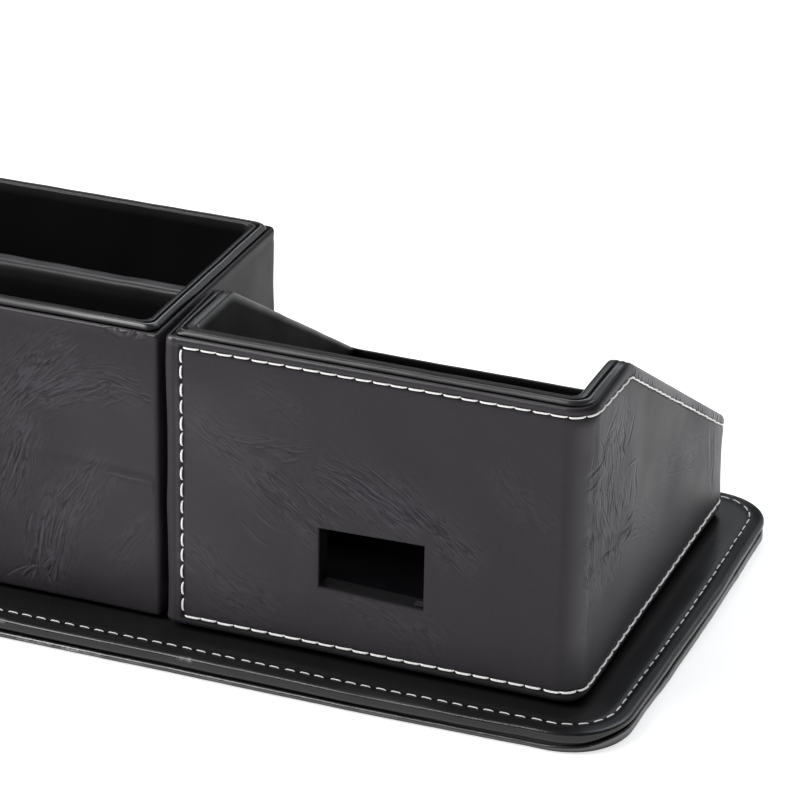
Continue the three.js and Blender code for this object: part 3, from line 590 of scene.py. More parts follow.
def make_cover(name, at, plan, rim, p):
    """Leather round the four walls: over the rim into the groove, down the face, and curled under at the foot."""
    s = Shell()
    rows, kinds = [], []

    def row(inset, height, kind):
        xy = plan.at(inset)
        rows.append(np.c_[xy, height(xy)])
        kinds.append(kind)

    t, cap_w, cap_h = p["thick"], p["cap_w"], p["cap_h"]
    under = p["curl"]
    z0 = 1.0
    row(t, lambda q: rim(q[:, 1]) - 2.4, "in")
    row(t, lambda q: rim(q[:, 1]) - 0.42, "rim")
    row(t - 0.04, lambda q: rim(q[:, 1]) - 0.2, "rim")
    row(t - 0.14, lambda q: rim(q[:, 1]) - 0.06, "rim")
    row(cap_w, lambda q: rim(q[:, 1]), "rim")
    for a in (12, 25, 38, 50, 61, 71, 80):
        a = math.radians(a)
        row(
            cap_w * (1 - math.sin(a)),
            lambda q, a=a: rim(q[:, 1]) - cap_h * (1 - math.cos(a)),
            "rim",
        )
    top_z = float(rim(np.array([-plan.hd]))[0]) - cap_h
    low_z = z0 + under
    stops = [top_z] + sorted(p.get("levels", ()), reverse=True) + [low_z]
    zs = []
    for a, b in zip(stops[:-1], stops[1:]):
        zs += even(a, b, p["fine"])[:-1]
    zs.append(low_z)
    first_face = len(rows)
    for z in zs:
        share = (z - low_z) / (top_z - low_z)
        row(
            0.0,
            lambda q, share=share: low_z + (rim(q[:, 1]) - cap_h - low_z) * share,
            "face",
        )
    last_face = len(rows) - 1
    for a in (15, 30, 45, 60, 75, 90):
        a = math.radians(a)
        row(
            under * (1 - math.cos(a)),
            lambda q, a=a: low_z - under * math.sin(a) + 0 * q[:, 1],
            "foot",
        )
    row(under + 0.25, lambda q: z0 + 0.03 + 0 * q[:, 1], "in")
    row(t + 0.02, lambda q: z0 + 1.3 + 0 * q[:, 1], "in")
    for level in p.get("inner", (30.0,)):
        row(
            t,
            lambda q, level=level: z0 + (rim(q[:, 1]) - 2.4 - z0) * level,
            "in",
        )

    ids = [s.add(r) for r in rows]
    hole = None
    if "window" in p:
        zt, zb, half = p["window"]
        r0 = first_face + int(np.argmin([abs(z - zt) for z in zs]))
        r1 = first_face + int(np.argmin([abs(z - zb) for z in zs]))
        rear = np.where(plan.side == 0)[0]
        x = rows[first_face][:, 0]
        c0 = int(rear[np.argmin(np.abs(x[rear] + half))])
        c1 = int(rear[np.argmin(np.abs(x[rear] - half))])
        hole = (r0, r1, c0, c1)
    for k in range(len(ids)):
        a, b = ids[k], ids[(k + 1) % len(ids)]
        if hole and hole[0] <= k < hole[1]:
            s.strip(a, b, skip=lambda c: hole[2] <= c < hole[3])
        elif hole and k >= last_face + 7:
            # behind the face the opening is left free as well
            mid_k = k == len(ids) - 2
            s.strip(a, b, skip=(lambda c: hole[2] <= c < hole[3]) if mid_k else None)
        else:
            s.strip(a, b)

    # relief of the faces
    pts = s.points()
    nrow = len(rows)
    col = np.tile(np.arange(plan.n), nrow)
    row_of = np.repeat(np.arange(nrow), plan.n)
    kind = np.array(kinds)[row_of]
    out = plan.out[col]
    side, corner = plan.side[col], plan.corner[col]
    ry = rim(pts[:, 1])
    depth = ry - pts[:, 2]
    if hole:
        on_rear = (side == 0) & (row_of >= first_face) & (row_of <= last_face)
        pts[on_rear, 2] += window_shift(pts[on_rear, 0], pts[on_rear, 2])
    face = (kind == "face") | (kind == "foot") | (kind == "rim")
    fade = smooth(depth, 1.5, 9.0) * smooth(pts[:, 2], 3.0, 12.0)
    calm = np.where(side == 1, 0.4, 1.0)
    relief = (0.10 * p["relief"][0](pts) + 0.035 * p["relief"][1](pts)) * fade * calm
    relief += 0.05 * p["relief"][2](pts) * smooth(depth, 0.0, 1.0) * (kind != "in")
    relief += p["shape"](pts, side, corner, depth, kind, out)
    if hole:
        x, z = pts[:, 0], pts[:, 2]
        gap = np.maximum(np.abs(x) - 13.0, np.maximum(17.7 - z, z - 33.7))
        relief *= np.where(side == 0, smooth(gap, 0.3, 7.0), 1.0)
    # Painted shade: on the cover's inner rows, in the groove beside the lining where the lining stands proud, in the
    # stand's shadow marks, in the thread channels and at the needle holes.
    dark = np.where(kind == "in", 1.0, 0.0)
    groove = np.array((1.0, 1.0, 0.75, 0.3))[np.minimum(row_of, 3)] * (row_of < 4)
    toward_rear = smooth(-out[:, 1], 0.2, 0.8)
    dark = np.maximum(dark, groove * smooth(p["crest"](pts[:, 1]) - ry, 0.2, 0.9) * (0.25 + 0.75 * toward_rear))
    dark = np.maximum(dark, p["shadow"](pts, out, depth) * (kind != "in"))
    if "painted_shade" in p:
        dark = np.maximum(dark, p["painted_shade"](pts, side, corner, kind))
        pull, shade_of = needle_marks(pts, p["holes"])
        relief -= pull
        dark = np.maximum(dark, shade_of * (kind != "in"))
    # Painted highlight: on the cap of the rim, on a band just below it, and at the lightened places; it lightens the
    # tone and raises the specular.
    band = p["band"]
    painted_highlight = (1.0 - smooth(depth, 0.35 * cap_h, 0.8 * cap_h)) * smooth(row_of, 2.5, 6.0)
    painted_highlight = np.maximum(painted_highlight, band[0] * (1.0 - smooth(depth, band[1], band[1] + 0.7)) * (row_of > 5))
    painted_highlight = np.where(kind == "in", 0.0, painted_highlight) * toward_rear
    painted_highlight = np.maximum(painted_highlight, p["lightened"](pts, side, corner, depth, out) * (kind != "in"))
    relief = np.where(face, relief, 0.0)
    pts[:, 0] += out[:, 0] * relief
    pts[:, 1] += out[:, 1] * relief

    # panel coordinates for the creases
    face_of = np.full(len(pts), "none", dtype=object)
    u, v = pts[:, 0].copy(), pts[:, 2].copy()
    rear_name = p["faces"][0]
    bend_r = (corner == 0) | (corner == 1)
    face_of[(side == 0) | (bend_r & (out[:, 1] < -0.72))] = rear_name
    if len(p["faces"]) > 1:
        right = (side == 1) | ((corner == 1) & (out[:, 0] >= 0.70)) | (corner == 2)
        face_of[right] = p["faces"][1]
        u = np.where(right, pts[:, 1] + plan.hd, u)
    face_of[kind == "in"] = "none"
    # the creases fade out round the corners
    fade_out = np.where(bend_r & (face_of == rear_name), smooth(-out[:, 1], 0.72, 0.96), 1.0)
    if len(p["faces"]) > 1:
        fade_out = np.where(face_of == p["faces"][1], smooth(u, 1.9, 5.0), fade_out)

    extra = len(pts)
    if hole:
        # the leather is turned in through the opening
        r0, r1, c0, c1 = hole
        ring, inward = [], []
        for c in range(c0, c1):
            ring.append(ids[r0][c])
            inward.append((0, -1) if c > c0 else (1, -1))
        for k in range(r0, r1):
            ring.append(ids[k][c1])
            inward.append((-1, 0) if k > r0 else (-1, -1))
        for c in range(c1, c0, -1):
            ring.append(ids[r1][c])
            inward.append((0, 1) if c < c1 else (-1, 1))
        for k in range(r1, r0, -1):
            ring.append(ids[k][c0])
            inward.append((1, 0) if k < r1 else (1, 1))
        edge = pts[np.array(ring)]
        inward = np.array(inward, float)
        new = []

        def turn(shift, deep):
            q = edge.copy()
            q[:, 0] += inward[:, 0] * shift
            q[:, 2] += inward[:, 1] * shift
            q[:, 1] = -plan.hd + deep
            new.append(q)

        for a in (22, 45, 68, 90):
            a = math.radians(a)
            turn(LIP * math.sin(a), LIP * (1 - math.cos(a)))
        for deep in (1.2, 2.2, 3.4, 4.6, 4.95):
            turn(LIP, deep)
        turn(LIP - 0.1, 5.05)
        turn(LIP - 0.35, 5.0)
        turn(LIP - 0.4, 3.0)
        turn(LIP - 0.4, 1.4)
        last = np.array(ring)
        more = []
        start = s.count
        for q in new:
            here = np.arange(start, start + len(q))
            start += len(q)
            more.append(q)
            n = len(here)
            for k in range(n):
                j = (k + 1) % n
                s.f.append((last[k], here[k], here[j], last[j]))
            last = here
        pts = np.concatenate([pts] + more)
    obj = s.build(name, at, pts)

    strokes = p.get("strokes", []) + draw_creases(p["faces"])
    layers = lay_creases(strokes, face_of, u, v)
    mask = pebble_mask(face_of, u, v) * fade_out
    mask = np.where(kind == "in", 0.0, mask)
    pad = len(pts) - extra
    for k, layer in enumerate(layers):
        layer[:, 1] *= fade_out
        full = np.concatenate([layer, np.tile((9.0, 0.0, 0.2), (pad, 1))])
        store(obj, "crease_%d" % k, full)
    for k, layer in enumerate(lay_wrinkles(face_of, u, v)):
        layer[:, 2] *= fade_out
        store(obj, "wrinkle_%d" % k, np.concatenate([layer, np.zeros((pad, 3))]))
    store(obj, "pebble", np.concatenate([mask, np.zeros(pad)]))
    # painted shade: the leather turned into the opening grows darker towards the inside
    deep = np.repeat((0.0, 0.25, 0.6, 0.9) + (0.98,) * 9, pad // 13) if pad else np.zeros(0)
    store(obj, "painted_shade", np.concatenate([dark, deep]))
    store(obj, "edge", np.concatenate([painted_highlight, np.zeros(pad)]))
    return obj


def needle_marks(pts, holes):
    """How far the leather is drawn in at the ends of the stitches, and the painted shade at the needle holes there."""
    near = np.full(len(pts), 9.0)
    for k in range(0, len(pts), 4000):
        d = np.linalg.norm(pts[k : k + 4000, None] - holes[None], axis=2)
        near[k : k + 4000] = d.min(1)
    return 0.14 * np.exp(-((near / 0.42) ** 2)), 0.9 * np.exp(-((near / 0.45) ** 2))


def stand_seam(pts, side, corner, kind):
    """How deep a place lies in the channels of the threads; the same measure sets the painted shade in them."""
    x, y, z = pts.T
    upper = np.exp(-(((seam_line(y) - z - 0.1) / 0.58) ** 2))
    lower = np.exp(-(((z - SEAM_FOOT + 0.1) / 0.58) ** 2))
    rear = (side == 0) * np.exp(-(((x + STAND_W / 2.0 - SEAM_IN + 0.1) / 0.58) ** 2))
    left = (side == 3) * np.exp(-(((y + STAND_D / 2.0 - SEAM_IN + 0.1) / 0.58) ** 2))
    beside = (side == 0) & (x < -STAND_W / 2.0 + SEAM_IN - 0.3)
    beside |= (side == 3) & (y < -STAND_D / 2.0 + SEAM_IN - 0.3)
    beside |= corner == 0
    line = np.where(beside, 0.0, np.maximum(upper, lower))
    between = (z < seam_line(y) + 0.5) & (z > SEAM_FOOT - 0.5)
    line = np.maximum(line, np.where(between, np.maximum(rear, left), 0.0))
    return np.where(side == 1, 0.95, 0.75) * line * (kind != "in")


def stand_shadow(pts, out, depth):
    """Painted shade: darker on the rim of the right wall behind its peak, on the right face just past the corner, and
    low on the rear face towards the right.
    """
    yy = pts[:, 1] + STAND_D / 2.0
    past = 0.22 * smooth(out[:, 0], 0.94, 1.0) * (1.0 - smooth(yy, STAND_R[1] + 0.5, STAND_R[1] + 5.0)) * smooth(depth, 3.0, 6.0)
    past = past + 0.13 * smooth(-out[:, 1], 0.8, 1.0) * smooth(pts[:, 0], -10.0, 30.0) * (1.0 - smooth(pts[:, 2], 4.0, 16.0))
    return past + 0.42 * smooth(out[:, 0], 0.3, 0.9) * (1.0 - smooth(depth, 1.2, 2.0)) * (1.0 - smooth(yy, 21.0, 27.0))


def stand_painted_light(pts, side, corner, depth, out):
    """Painted light: lighter where the leather turns round the rear right corner, over the left of the rear face,
    along the low front edge, and on the strip above the thread where the right side slopes down.
    """
    x, y, z = pts.T
    yy, r = y + STAND_D / 2.0, STAND_R[1]
    turned = out[:, 0]
    f = np.where(corner == 1, 0.10 + 0.90 * smooth(turned, 0.0, 0.75) - 0.55 * smooth(turned, 0.93, 1.0), 0.0)
    f = np.where(side == 0, 0.10 * smooth(x, STAND_W / 2.0 - r - 6.0, STAND_W / 2.0 - r), f)
    f = np.where(side == 1, 0.45 * (1.0 - smooth(yy, r, r + 2.0)), f)
    f *= 0.66 * smooth(depth, 2.6, 5.0) * smooth(z, 3.0, 18.0)
    f = np.maximum(f, np.where(side == 0, 0.45 * (1.0 - smooth(x, -50.0, 5.0)) * smooth(depth, 3.0, 14.0) * smooth(z, 4.0, 20.0), 0.0))
    front = np.where(side == 1, 0.72 * smooth(yy, 93.0, 102.0), np.where(corner == 2, 0.72, 0.0))
    f = np.maximum(f, front * smooth(depth, 0.5, 3.0) * smooth(z, 3.0, 9.0))
    strip = smooth(z - seam_line(y), -0.1, 0.5) * smooth(yy, 27.5, 32.0) * (0.64 + 0.24 * smooth(yy, 82.0, 98.0))
    return np.maximum(f, np.where((side == 1) | (corner == 2), strip, 0.0))


def org_lighter_right(pts, side, corner, depth, out):
    """The middle of the organizer's rear face is a little lighter towards the right."""
    x, y, z = pts.T
    return np.where(side == 0, 0.34 * smooth(x, 18.0, 46.0) * smooth(depth, 4.0, 22.0) * smooth(z, 4.0, 20.0), 0.0)


def stand_shape(pts, side, corner, depth, kind, out):
    """Geometry of the stand box's faces: pulled in along the threads, a bead at the rear left corner."""
    x, y, z = pts.T
    d = np.zeros(len(pts))
    d -= 0.24 * stand_seam(pts, side, corner, kind)
    # bulge below the foot's thread
    d += 0.22 * np.exp(-(((z - 2.3) / 0.9) ** 2)) * (0.75 + 0.45 * np.sin(x * 0.11 + 1.0))
    hw, hd = STAND_W / 2.0, STAND_D / 2.0
    rear = side == 0
    d -= rear * 0.20 * np.exp(-(((x + hw - 2.3) / 0.5) ** 2)) * smooth(z, 2.0, 6.0)
    # the rear wall is drawn in slightly towards its middle
    d -= rear * 0.25 * (1 - (x / hw) ** 2) * smooth(depth, 2, 20) * smooth(z, 3, 16)
    # the left face stands out a little, and the front of the right one
    d += 0.25 * smooth(-out[:, 0], 0.5, 1.0)
    right = side == 1
    yy = y + hd
    d += 0.14 * smooth(out[:, 0], 0.3, 1.0) * smooth(yy, 88.0, 104.0)
    # the rear right corner is softer below the rim
    turn = np.where(corner == 1, 0.10 + 0.80 * out[:, 0] * np.clip(-out[:, 1], 0.0, 1.0), 0.0)
    beside = np.where(rear, x - (hw - STAND_R[1]), np.where(right, STAND_R[1] - yy, -9.0))
    turn = np.maximum(turn, np.where(rear | right, 0.10 * np.clip(1.0 + beside / 2.0, 0.0, 1.0) ** 2, 0.0))
    d -= turn * smooth(depth, 3.0, 12.0) * smooth(z, 1.5, 7.0)
    d -= right * 0.10 * np.exp(-(((yy - 14.0) / 7.0) ** 2)) * smooth(depth, 3, 14) * smooth(z, 12, 30)
    d += right * 0.14 * np.exp(-(((yy - 30.0) / 9.0) ** 2)) * smooth(depth, 3, 14) * smooth(z, 12, 30)
    return d


def org_shape(pts, side, corner, depth, kind, out):
    """Geometry of the organizer's faces: one long soft fold across the rear, drawn in under the rim."""
    x, y, z = pts.T
    d = np.zeros(len(pts))
    rear = side == 0
    fold = np.interp(x, [-59, 19, 32, 44, 59], [39.5, 36.75, 37.95, 37.9, 37.2])
    near = z - fold
    strong = 0.55 + 0.45 * smooth(x, 30.0, 58.0)
    d -= rear * strong * 0.20 * np.exp(-((near / 1.0) ** 2))
    d += rear * strong * 0.36 * np.exp(-(((near + 2.8) / 2.3) ** 2))
    d -= rear * 0.20 * (1 - (x / 59.0) ** 2) * smooth(depth, 2, 20) * smooth(z, 3, 16)
    d += rear * 0.20 * np.exp(-(((x - 26) / 9.0) ** 2 + ((z - 14) / 10.0) ** 2))
    d -= 0.10 * np.exp(-(((depth - 2.6) / 1.2) ** 2)) * (kind != "in")
    return d


stand_plan = Plan(
    STAND_W,
    STAND_D,
    STAND_R,
    (0.46, 0.46, 1.6, 1.6),
    (10, 18, 14, 8),
    marks=(-WINDOW_X - LIP, WINDOW_X + LIP),
)
pleats = []
pleat_r = np.random.default_rng(51)
for yy, tall, deep in (
    (29.3, 1.9, 0.20),
    (32.3, 1.7, 0.18),
    (34.8, 1.3, 0.10),
    (39.7, 1.3, 0.13),
    (42.9, 1.3, 0.13),
    (51.0, 1.1, 0.07),
    (62.3, 1.5, 0.16),
    (65.6, 1.1, 0.12),
    (69.0, 1.0, 0.09),
    (76.6, 1.5, 0.16),
    (80.9, 1.4, 0.15),
    (84.4, 1.4, 0.14),
    (88.5, 1.2, 0.10),
    (94.0, 2.9, 0.20),
    (97.4, 2.9, 0.20),
    (100.6, 2.8, 0.18),
    (103.6, 2.6, 0.14),
):
    low = float(seam_line(np.array([yy - STAND_D / 2.0]))[0]) + 0.15
    lean = pleat_r.uniform(-0.2, 0.2)
    pts = np.c_[np.linspace(yy + lean, yy, 13), np.linspace(low + tall, low, 13)]
    pleats.append(("right", pts, 2.6 * deep, 0.42))


def stitch_places(line, pitch, seed, start=0.0):
    """Where the stitches of a row begin along its line, and how long each one's share is."""
    r = np.random.default_rng(seed)
    s = np.r_[0.0, np.cumsum(np.linalg.norm(np.diff(line, axis=0), axis=1))]
    total = s[-1] - start
    count = max(1, int(round(total / pitch)))
    step = total / count
    return s, start + (np.arange(count) + r.normal(0.0, 0.03, count)) * step, step


def ring_from(plan, a_side, b_side):
    """Columns from one place on the outline round to another, in order."""
    k = a_side
    cols = [k]
    while k != b_side:
        k = (k + 1) % plan.n
        cols.append(k)
    return np.array(cols)


xy0 = stand_plan.at(0.0)
rear_cols = np.where(stand_plan.side == 0)[0]
left_cols = np.where(stand_plan.side == 3)[0]
start_col = int(rear_cols[np.argmin(np.abs(xy0[rear_cols, 0] - (-STAND_W / 2.0 + SEAM_IN + 0.5)))])
end_col = int(left_cols[np.argmin(np.abs(xy0[left_cols, 1] - (-STAND_D / 2.0 + SEAM_IN + 0.5)))])
cols = ring_from(stand_plan, start_col, end_col)
path_xy, path_out = xy0[cols], stand_plan.out[cols]
up_z = np.linspace(SEAM[0] - 0.5, SEAM_FOOT + 0.3, 60)
flat_out = np.c_[path_out, np.zeros(len(cols))]
# Rows of stitches: line, outward directions, pitch, share of the pitch, width, height, slant, seed.
STAND_ROWS = [
    (np.c_[path_xy, seam_line(path_xy[:, 1])], flat_out, 4.12, 0.97, 0.42, 0.38, -0.10, 91),
    (np.c_[path_xy, np.full(len(cols), SEAM_FOOT)], flat_out, 4.12, 0.97, 0.50, 0.42, -0.06, 92),
    (
        np.c_[np.full(60, -STAND_W / 2.0 + SEAM_IN), np.full(60, -STAND_D / 2.0), up_z],
        np.tile((0.0, -1.0, 0.0), (60, 1)), 4.05, 0.80, 0.45, 0.38, 0.0, 93,
    ),
    (
        np.c_[np.full(60, -STAND_W / 2.0), np.full(60, -STAND_D / 2.0 + SEAM_IN), up_z],
        np.tile((-1.0, 0.0, 0.0), (60, 1)), 4.05, 0.80, 0.45, 0.38, 0.0, 94,
    ),
]
stand_holes = []
for line, _, pitch, share, _, _, _, seed in STAND_ROWS:
    length, places, step = stitch_places(line, pitch, seed)
    at = np.clip(places - 0.06 * step, 0.0, length[-1])
    stand_holes.append(np.c_[[np.interp(at, length, line[:, k]) for k in range(3)]].T)
stand_holes = np.concatenate(stand_holes)

stand_cover = make_cover(
    "stand_leather_cover",
    STAND_AT,
    stand_plan,
    stand_rim,
    {
        "thick": 1.25,
        "cap_w": 0.95,
        "cap_h": 1.9,
        "curl": 2.0,
        "fine": 0.46,
        "levels": (33.2 + LIP, 18.2 - LIP),
        "window": (33.2 + LIP, 18.2 - LIP, WINDOW_X + LIP),
        "inner": (0.24, 0.5),
        "relief": (Ripple(3, 24, 60), Ripple(4, 8, 18), Ripple(5, 14, 40)),
        "shape": stand_shape,
        "crest": stand_inner,
        "band": (0.5, 1.7),
        "shadow": stand_shadow,
        "lightened": stand_painted_light,
        "faces": ("rear", "right"),
        "strokes": pleats,
        "painted_shade": stand_seam,
        "holes": stand_holes,
    },
)
org_plan = Plan(ORG_W, ORG_D, ORG_R, (0.5, 0.9, 2.0, 2.0), (8, 8, 8, 8))
org_cover = make_cover(
    "organizer_leather_cover",
    ORG_AT,
    org_plan,
    org_rim,
    {
        "thick": 1.15,
        "cap_w": 0.75,
        "cap_h": 0.9,
        "curl": 0.9,
        "fine": 0.5,
        "inner": (0.3, 0.6),
        "relief": (Ripple(13, 26, 60), Ripple(14, 8, 20), Ripple(15, 14, 40)),
        "shape": org_shape,
        "crest": org_inner,
        "band": (0.3, 0.9),
        "lightened": org_lighter_right,
        "shadow": lambda pts, out, depth: np.zeros(len(pts)),
        "faces": ("org",),
    },
)


# ------------------------------------------------------------------ lining with its rounded rim
def make_lining(name, at, plan, rim, crest, p):
    """Lining of the four walls. On the rim it begins with a bead beside the cover, then a fine groove, then a flat strip."""
    s = Shell()
    rows, dark = [], []

    def row(inset, height, darkness=0.0):
        xy = plan.at(inset)
        rows.append(np.c_[xy, height(xy)])
        dark.append(darkness)

    lip, inner, z_low, bead = p["lip"], p["inner"], p["low"], p["bead"]

    def side(q):
        return np.minimum(p["side"], crest(q[:, 1]) - rim(q[:, 1]) + 0.1)

    # the last number of each row is painted shade: in the gap beside the cover and in the fine groove
    row(lip + 0.05, lambda q: rim(q[:, 1]) - 0.14, 1.0)
    row(lip, lambda q: crest(q[:, 1]) - side(q) - 0.02, 0.9)
    for share, up, darkness in (
        (0.0, 0.10, 0.5),
        (0.05, 0.22, 0.0),
        (0.16, 0.38, 0.0),
        (0.32, 0.57, 0.0),
        (0.50, 0.74, 0.0),
        (0.68, 0.88, 0.0),
        (0.85, 0.97, 0.0),
        (1.0, 1.0, 0.0),
    ):
        row(
            lip + bead * share,
            lambda q, up=up: crest(q[:, 1]) - side(q) * (1 - up),
            darkness,
        )
    for step, down, darkness in (
        (0.14, 0.05, 0.1),
        (0.26, 0.18, 0.6),
        (0.36, 0.45, 1.0),
        (0.52, 0.60, 1.0),
        (0.68, 0.45, 1.0),
        (0.80, 0.18, 0.9),
        (0.94, 0.06, 0.5),
        (1.20, 0.02, 0.0),
    ):
        row(lip + bead + step, lambda q, down=down: crest(q[:, 1]) - down, darkness)
    row(0.5 * (lip + bead + 1.20 + inner), lambda q: crest(q[:, 1]) - 0.06)
    ri = p["inner_round"]
    for a in (0, 22, 45, 68, 90):
        a = math.radians(a)
        row(
            inner - ri * (1 - math.sin(a)),
            lambda q, a=a: crest(q[:, 1]) - 0.1 - ri * (1 - math.cos(a)),
        )
    first = len(rows)
    top = float(crest(np.array([-plan.hd]))[0]) - 0.1 - ri
    stops = [top] + sorted(p.get("levels", ()), reverse=True) + [z_low]
    zs = []
    for a, b in zip(stops[:-1], stops[1:]):
        zs += even(a, b, p["fine"])[:-1]
    zs.append(z_low)
    for z in zs[1:]:
        share = (z - z_low) / (top - z_low)
        row(
            inner,
            lambda q, share=share: z_low
            + (crest(q[:, 1]) - 0.1 - ri - z_low) * share,
        )
    last = len(rows) - 1
    back = p["back"]
    row(back, lambda q: z_low + 0 * q[:, 1])
    row(back, lambda q: z_low + (rim(q[:, 1]) - 0.14 - z_low) * 0.5)
    row(back, lambda q: rim(q[:, 1]) - 0.14)
    ids = [s.add(q) for q in rows]
    hole = None
    if "window" in p:
        zt, zb, half = p["window"]
        r0 = first - 1 + int(np.argmin([abs(z - zt) for z in zs]))
        r1 = first - 1 + int(np.argmin([abs(z - zb) for z in zs]))
        rear = np.where(plan.side == 0)[0]
        x = rows[first][:, 0]
        c0 = int(rear[np.argmin(np.abs(x[rear] + half))])
        c1 = int(rear[np.argmin(np.abs(x[rear] - half))])
        hole = (r0, r1, c0, c1)
    for k in range(len(ids)):
        a, b = ids[k], ids[(k + 1) % len(ids)]
        skip = None
        if hole and (hole[0] <= k < hole[1] or k in (last + 1, last + 2)):
            skip = lambda c: hole[2] <= c < hole[3]
        s.strip(a, b, skip=skip)
    pts = s.points()
    col = np.tile(np.arange(plan.n), len(rows))
    row_of = np.repeat(np.arange(len(rows)), plan.n)
    out = plan.out[col]
    depth = crest(pts[:, 1]) - pts[:, 2]
    wave = 0.04 * p["relief"](pts) * np.where(row_of <= last, 1.0, 0.0)
    wave *= np.where(depth > 2.0, 2.0, 1.0)
    if hole:
        gap = np.maximum(np.abs(pts[:, 0]) - 13.2, np.maximum(17.5 - pts[:, 2], pts[:, 2] - 33.9))
        wave *= np.where(plan.side[col] == 0, smooth(gap, 0.2, 5.0), 1.0)
    pts[:, 0] += out[:, 0] * wave
    pts[:, 1] += out[:, 1] * wave
    pts[:, 2] += np.where((row_of > 1) & (depth < 1.2), 0.025 * p["relief"](pts * 1.7 + 40.0), 0.0)
    # on the right wall the bead sits close against the cover
    close = np.where(row_of < 4, smooth(out[:, 0], 0.3, 0.9), 0.0) * p["close"]
    pts[:, 0] += out[:, 0] * close
    pts[:, 1] += out[:, 1] * close
    obj = s.build(name, at, pts)
    shade_of = np.array(dark)[row_of]
    open_by = crest(pts[:, 1]) - rim(pts[:, 1])
    toward_rear = smooth(-out[:, 1], 0.2, 0.8)
    # painted shade in the grooves of the rim: the gap beside the cover is darkest towards the rear where the bead
    # stands proud, the fine groove is lighter there
    shade_of = np.where(row_of < 8, shade_of * smooth(open_by, 0.2, 0.9) * (0.25 + 0.75 * toward_rear), shade_of * (1.0 - 0.45 * toward_rear))
    store(obj, "painted_shade", shade_of)
    # painted highlight along the bead of the rim, brighter towards the right
    store(obj, "edge", np.where((row_of > 2) & (row_of < 11), 0.40 + 0.28 * smooth(pts[:, 0], 20.0, 48.0), 0.0))
    wall = np.where(row_of > 18, smooth(depth, 0.3, 2.0), 0.0)
    # painted shade: towards the rear the inner strip of the rim and the walls are darker and duller
    wall = np.maximum(wall, np.where(row_of > 15, 0.62 * toward_rear, 0.0))
    store(obj, "wall", wall * np.where(row_of <= last, 1.0, 0.0))
    return obj


stand_lining_plan = Plan(
    STAND_W, STAND_D, STAND_R, (1.2, 1.2, 1.6, 1.4), (10, 14, 12, 10), marks=(-13.15, 13.15), least=2.4
)
stand_lining = make_lining(
    "stand_lining",
    STAND_AT,
    stand_lining_plan,
    stand_rim,
    stand_inner,
    {
        "lip": 1.42,
        "side": 0.95,
        "inner": 5.1,
        "back": 3.9,
        "low": 3.75,
        "bead": 0.95,
        "close": 0.34,
        "inner_round": 0.6,
        "levels": (33.85, 17.55),
        "window": (33.85, 17.55, 13.15),
        "fine": 2.2,
        "relief": Ripple(31, 12, 45),
    },
)
org_lining_plan = Plan(ORG_W, ORG_D, ORG_R, (1.6, 1.6, 1.8, 1.8), (10, 10, 10, 10), least=2.4)
org_lining = make_lining(
    "organizer_lining",
    ORG_AT,
    org_lining_plan,
    org_rim,
    org_inner,
    {
        "lip": 1.32,
        "side": 1.2,
        "inner": 4.4,
        "back": 3.4,
        "low": 3.75,
        "bead": 1.0,
        "close": 0.0,
        "inner_round": 0.45,
        "fine": 2.4,
        "relief": Ripple(32, 12, 45),
    },
)


# ------------------------------------------------------------------ panels, pads and floor linings
def make_slab(name, at, lo, hi, radius, step, relief, swell=0.0, seed=1):
    """A soft slab with rounded edges: a fine box whose outline, edges and faces are eased and waved."""
    lo, hi = np.array(lo, float), np.array(hi, float)
    size = hi - lo
    n = [max(6, int(round(k / step))) for k in size]
    n = [min(k, 140) for k in n]

    def ticks(a, b, m):
        t = np.linspace(a, b, m + 1)
        e = np.array([0.0, 0.25, 0.6, 1.0]) * min(radius, 0.45 * (b - a))
        return np.unique(np.round(np.r_[a + e, t[(t > a + radius) & (t < b - radius)], b - e], 5))

    ax = [ticks(lo[k], hi[k], n[k]) for k in range(3)]
    s = Shell()
    seen = {}
    pts = []

    def vid(p):
        key = tuple(np.round(p, 4))
        if key not in seen:
            seen[key] = len(pts)
            pts.append(p)
        return seen[key]

    for axis in range(3):
        a, b = (axis + 1) % 3, (axis + 2) % 3
        for end, flip in ((lo[axis], True), (hi[axis], False)):
            for i in range(len(ax[a]) - 1):
                for j in range(len(ax[b]) - 1):
                    quad = []
                    for di, dj in ((0, 0), (1, 0), (1, 1), (0, 1)):
                        p = np.zeros(3)
                        p[axis], p[a], p[b] = end, ax[a][i + di], ax[b][j + dj]
                        quad.append(vid(p))
                    s.f.append(tuple(reversed(quad)) if flip else tuple(quad))
    p = np.array(pts)
    mid, half = (lo + hi) / 2.0, size / 2.0
    r = np.minimum(radius, 0.49 * size)
    core = np.clip(p, lo + r, hi - r)
    d = p - core
    length = np.linalg.norm(d, axis=1)
    length[length < 1e-9] = 1.0
    unit = d / length[:, None]
    q = core + unit * np.min(r)
    wide = np.where(r > np.min(r) + 1e-9)[0]
    for k in wide:
        q[:, k] = core[:, k] + unit[:, k] * np.min(r)
    wave = Ripple(seed, 7, 30)(p)
    q += unit * (relief * wave)[:, None]
    if swell:
        thin = int(np.argmin(size))
        others = [k for k in range(3) if k != thin]
        f = np.prod([1 - np.abs((p[:, k] - mid[k]) / half[k]) ** 4 for k in others], axis=0)
        q[:, thin] += np.sign(p[:, thin] - mid[thin]) * swell * np.clip(f, 0, 1)
    s.v = [q]
    s.count = len(q)
    obj = s.build(name, at, q)
    store(obj, "wall", smooth(hi[2] - q[:, 2], 1.0, 5.0))
    return obj


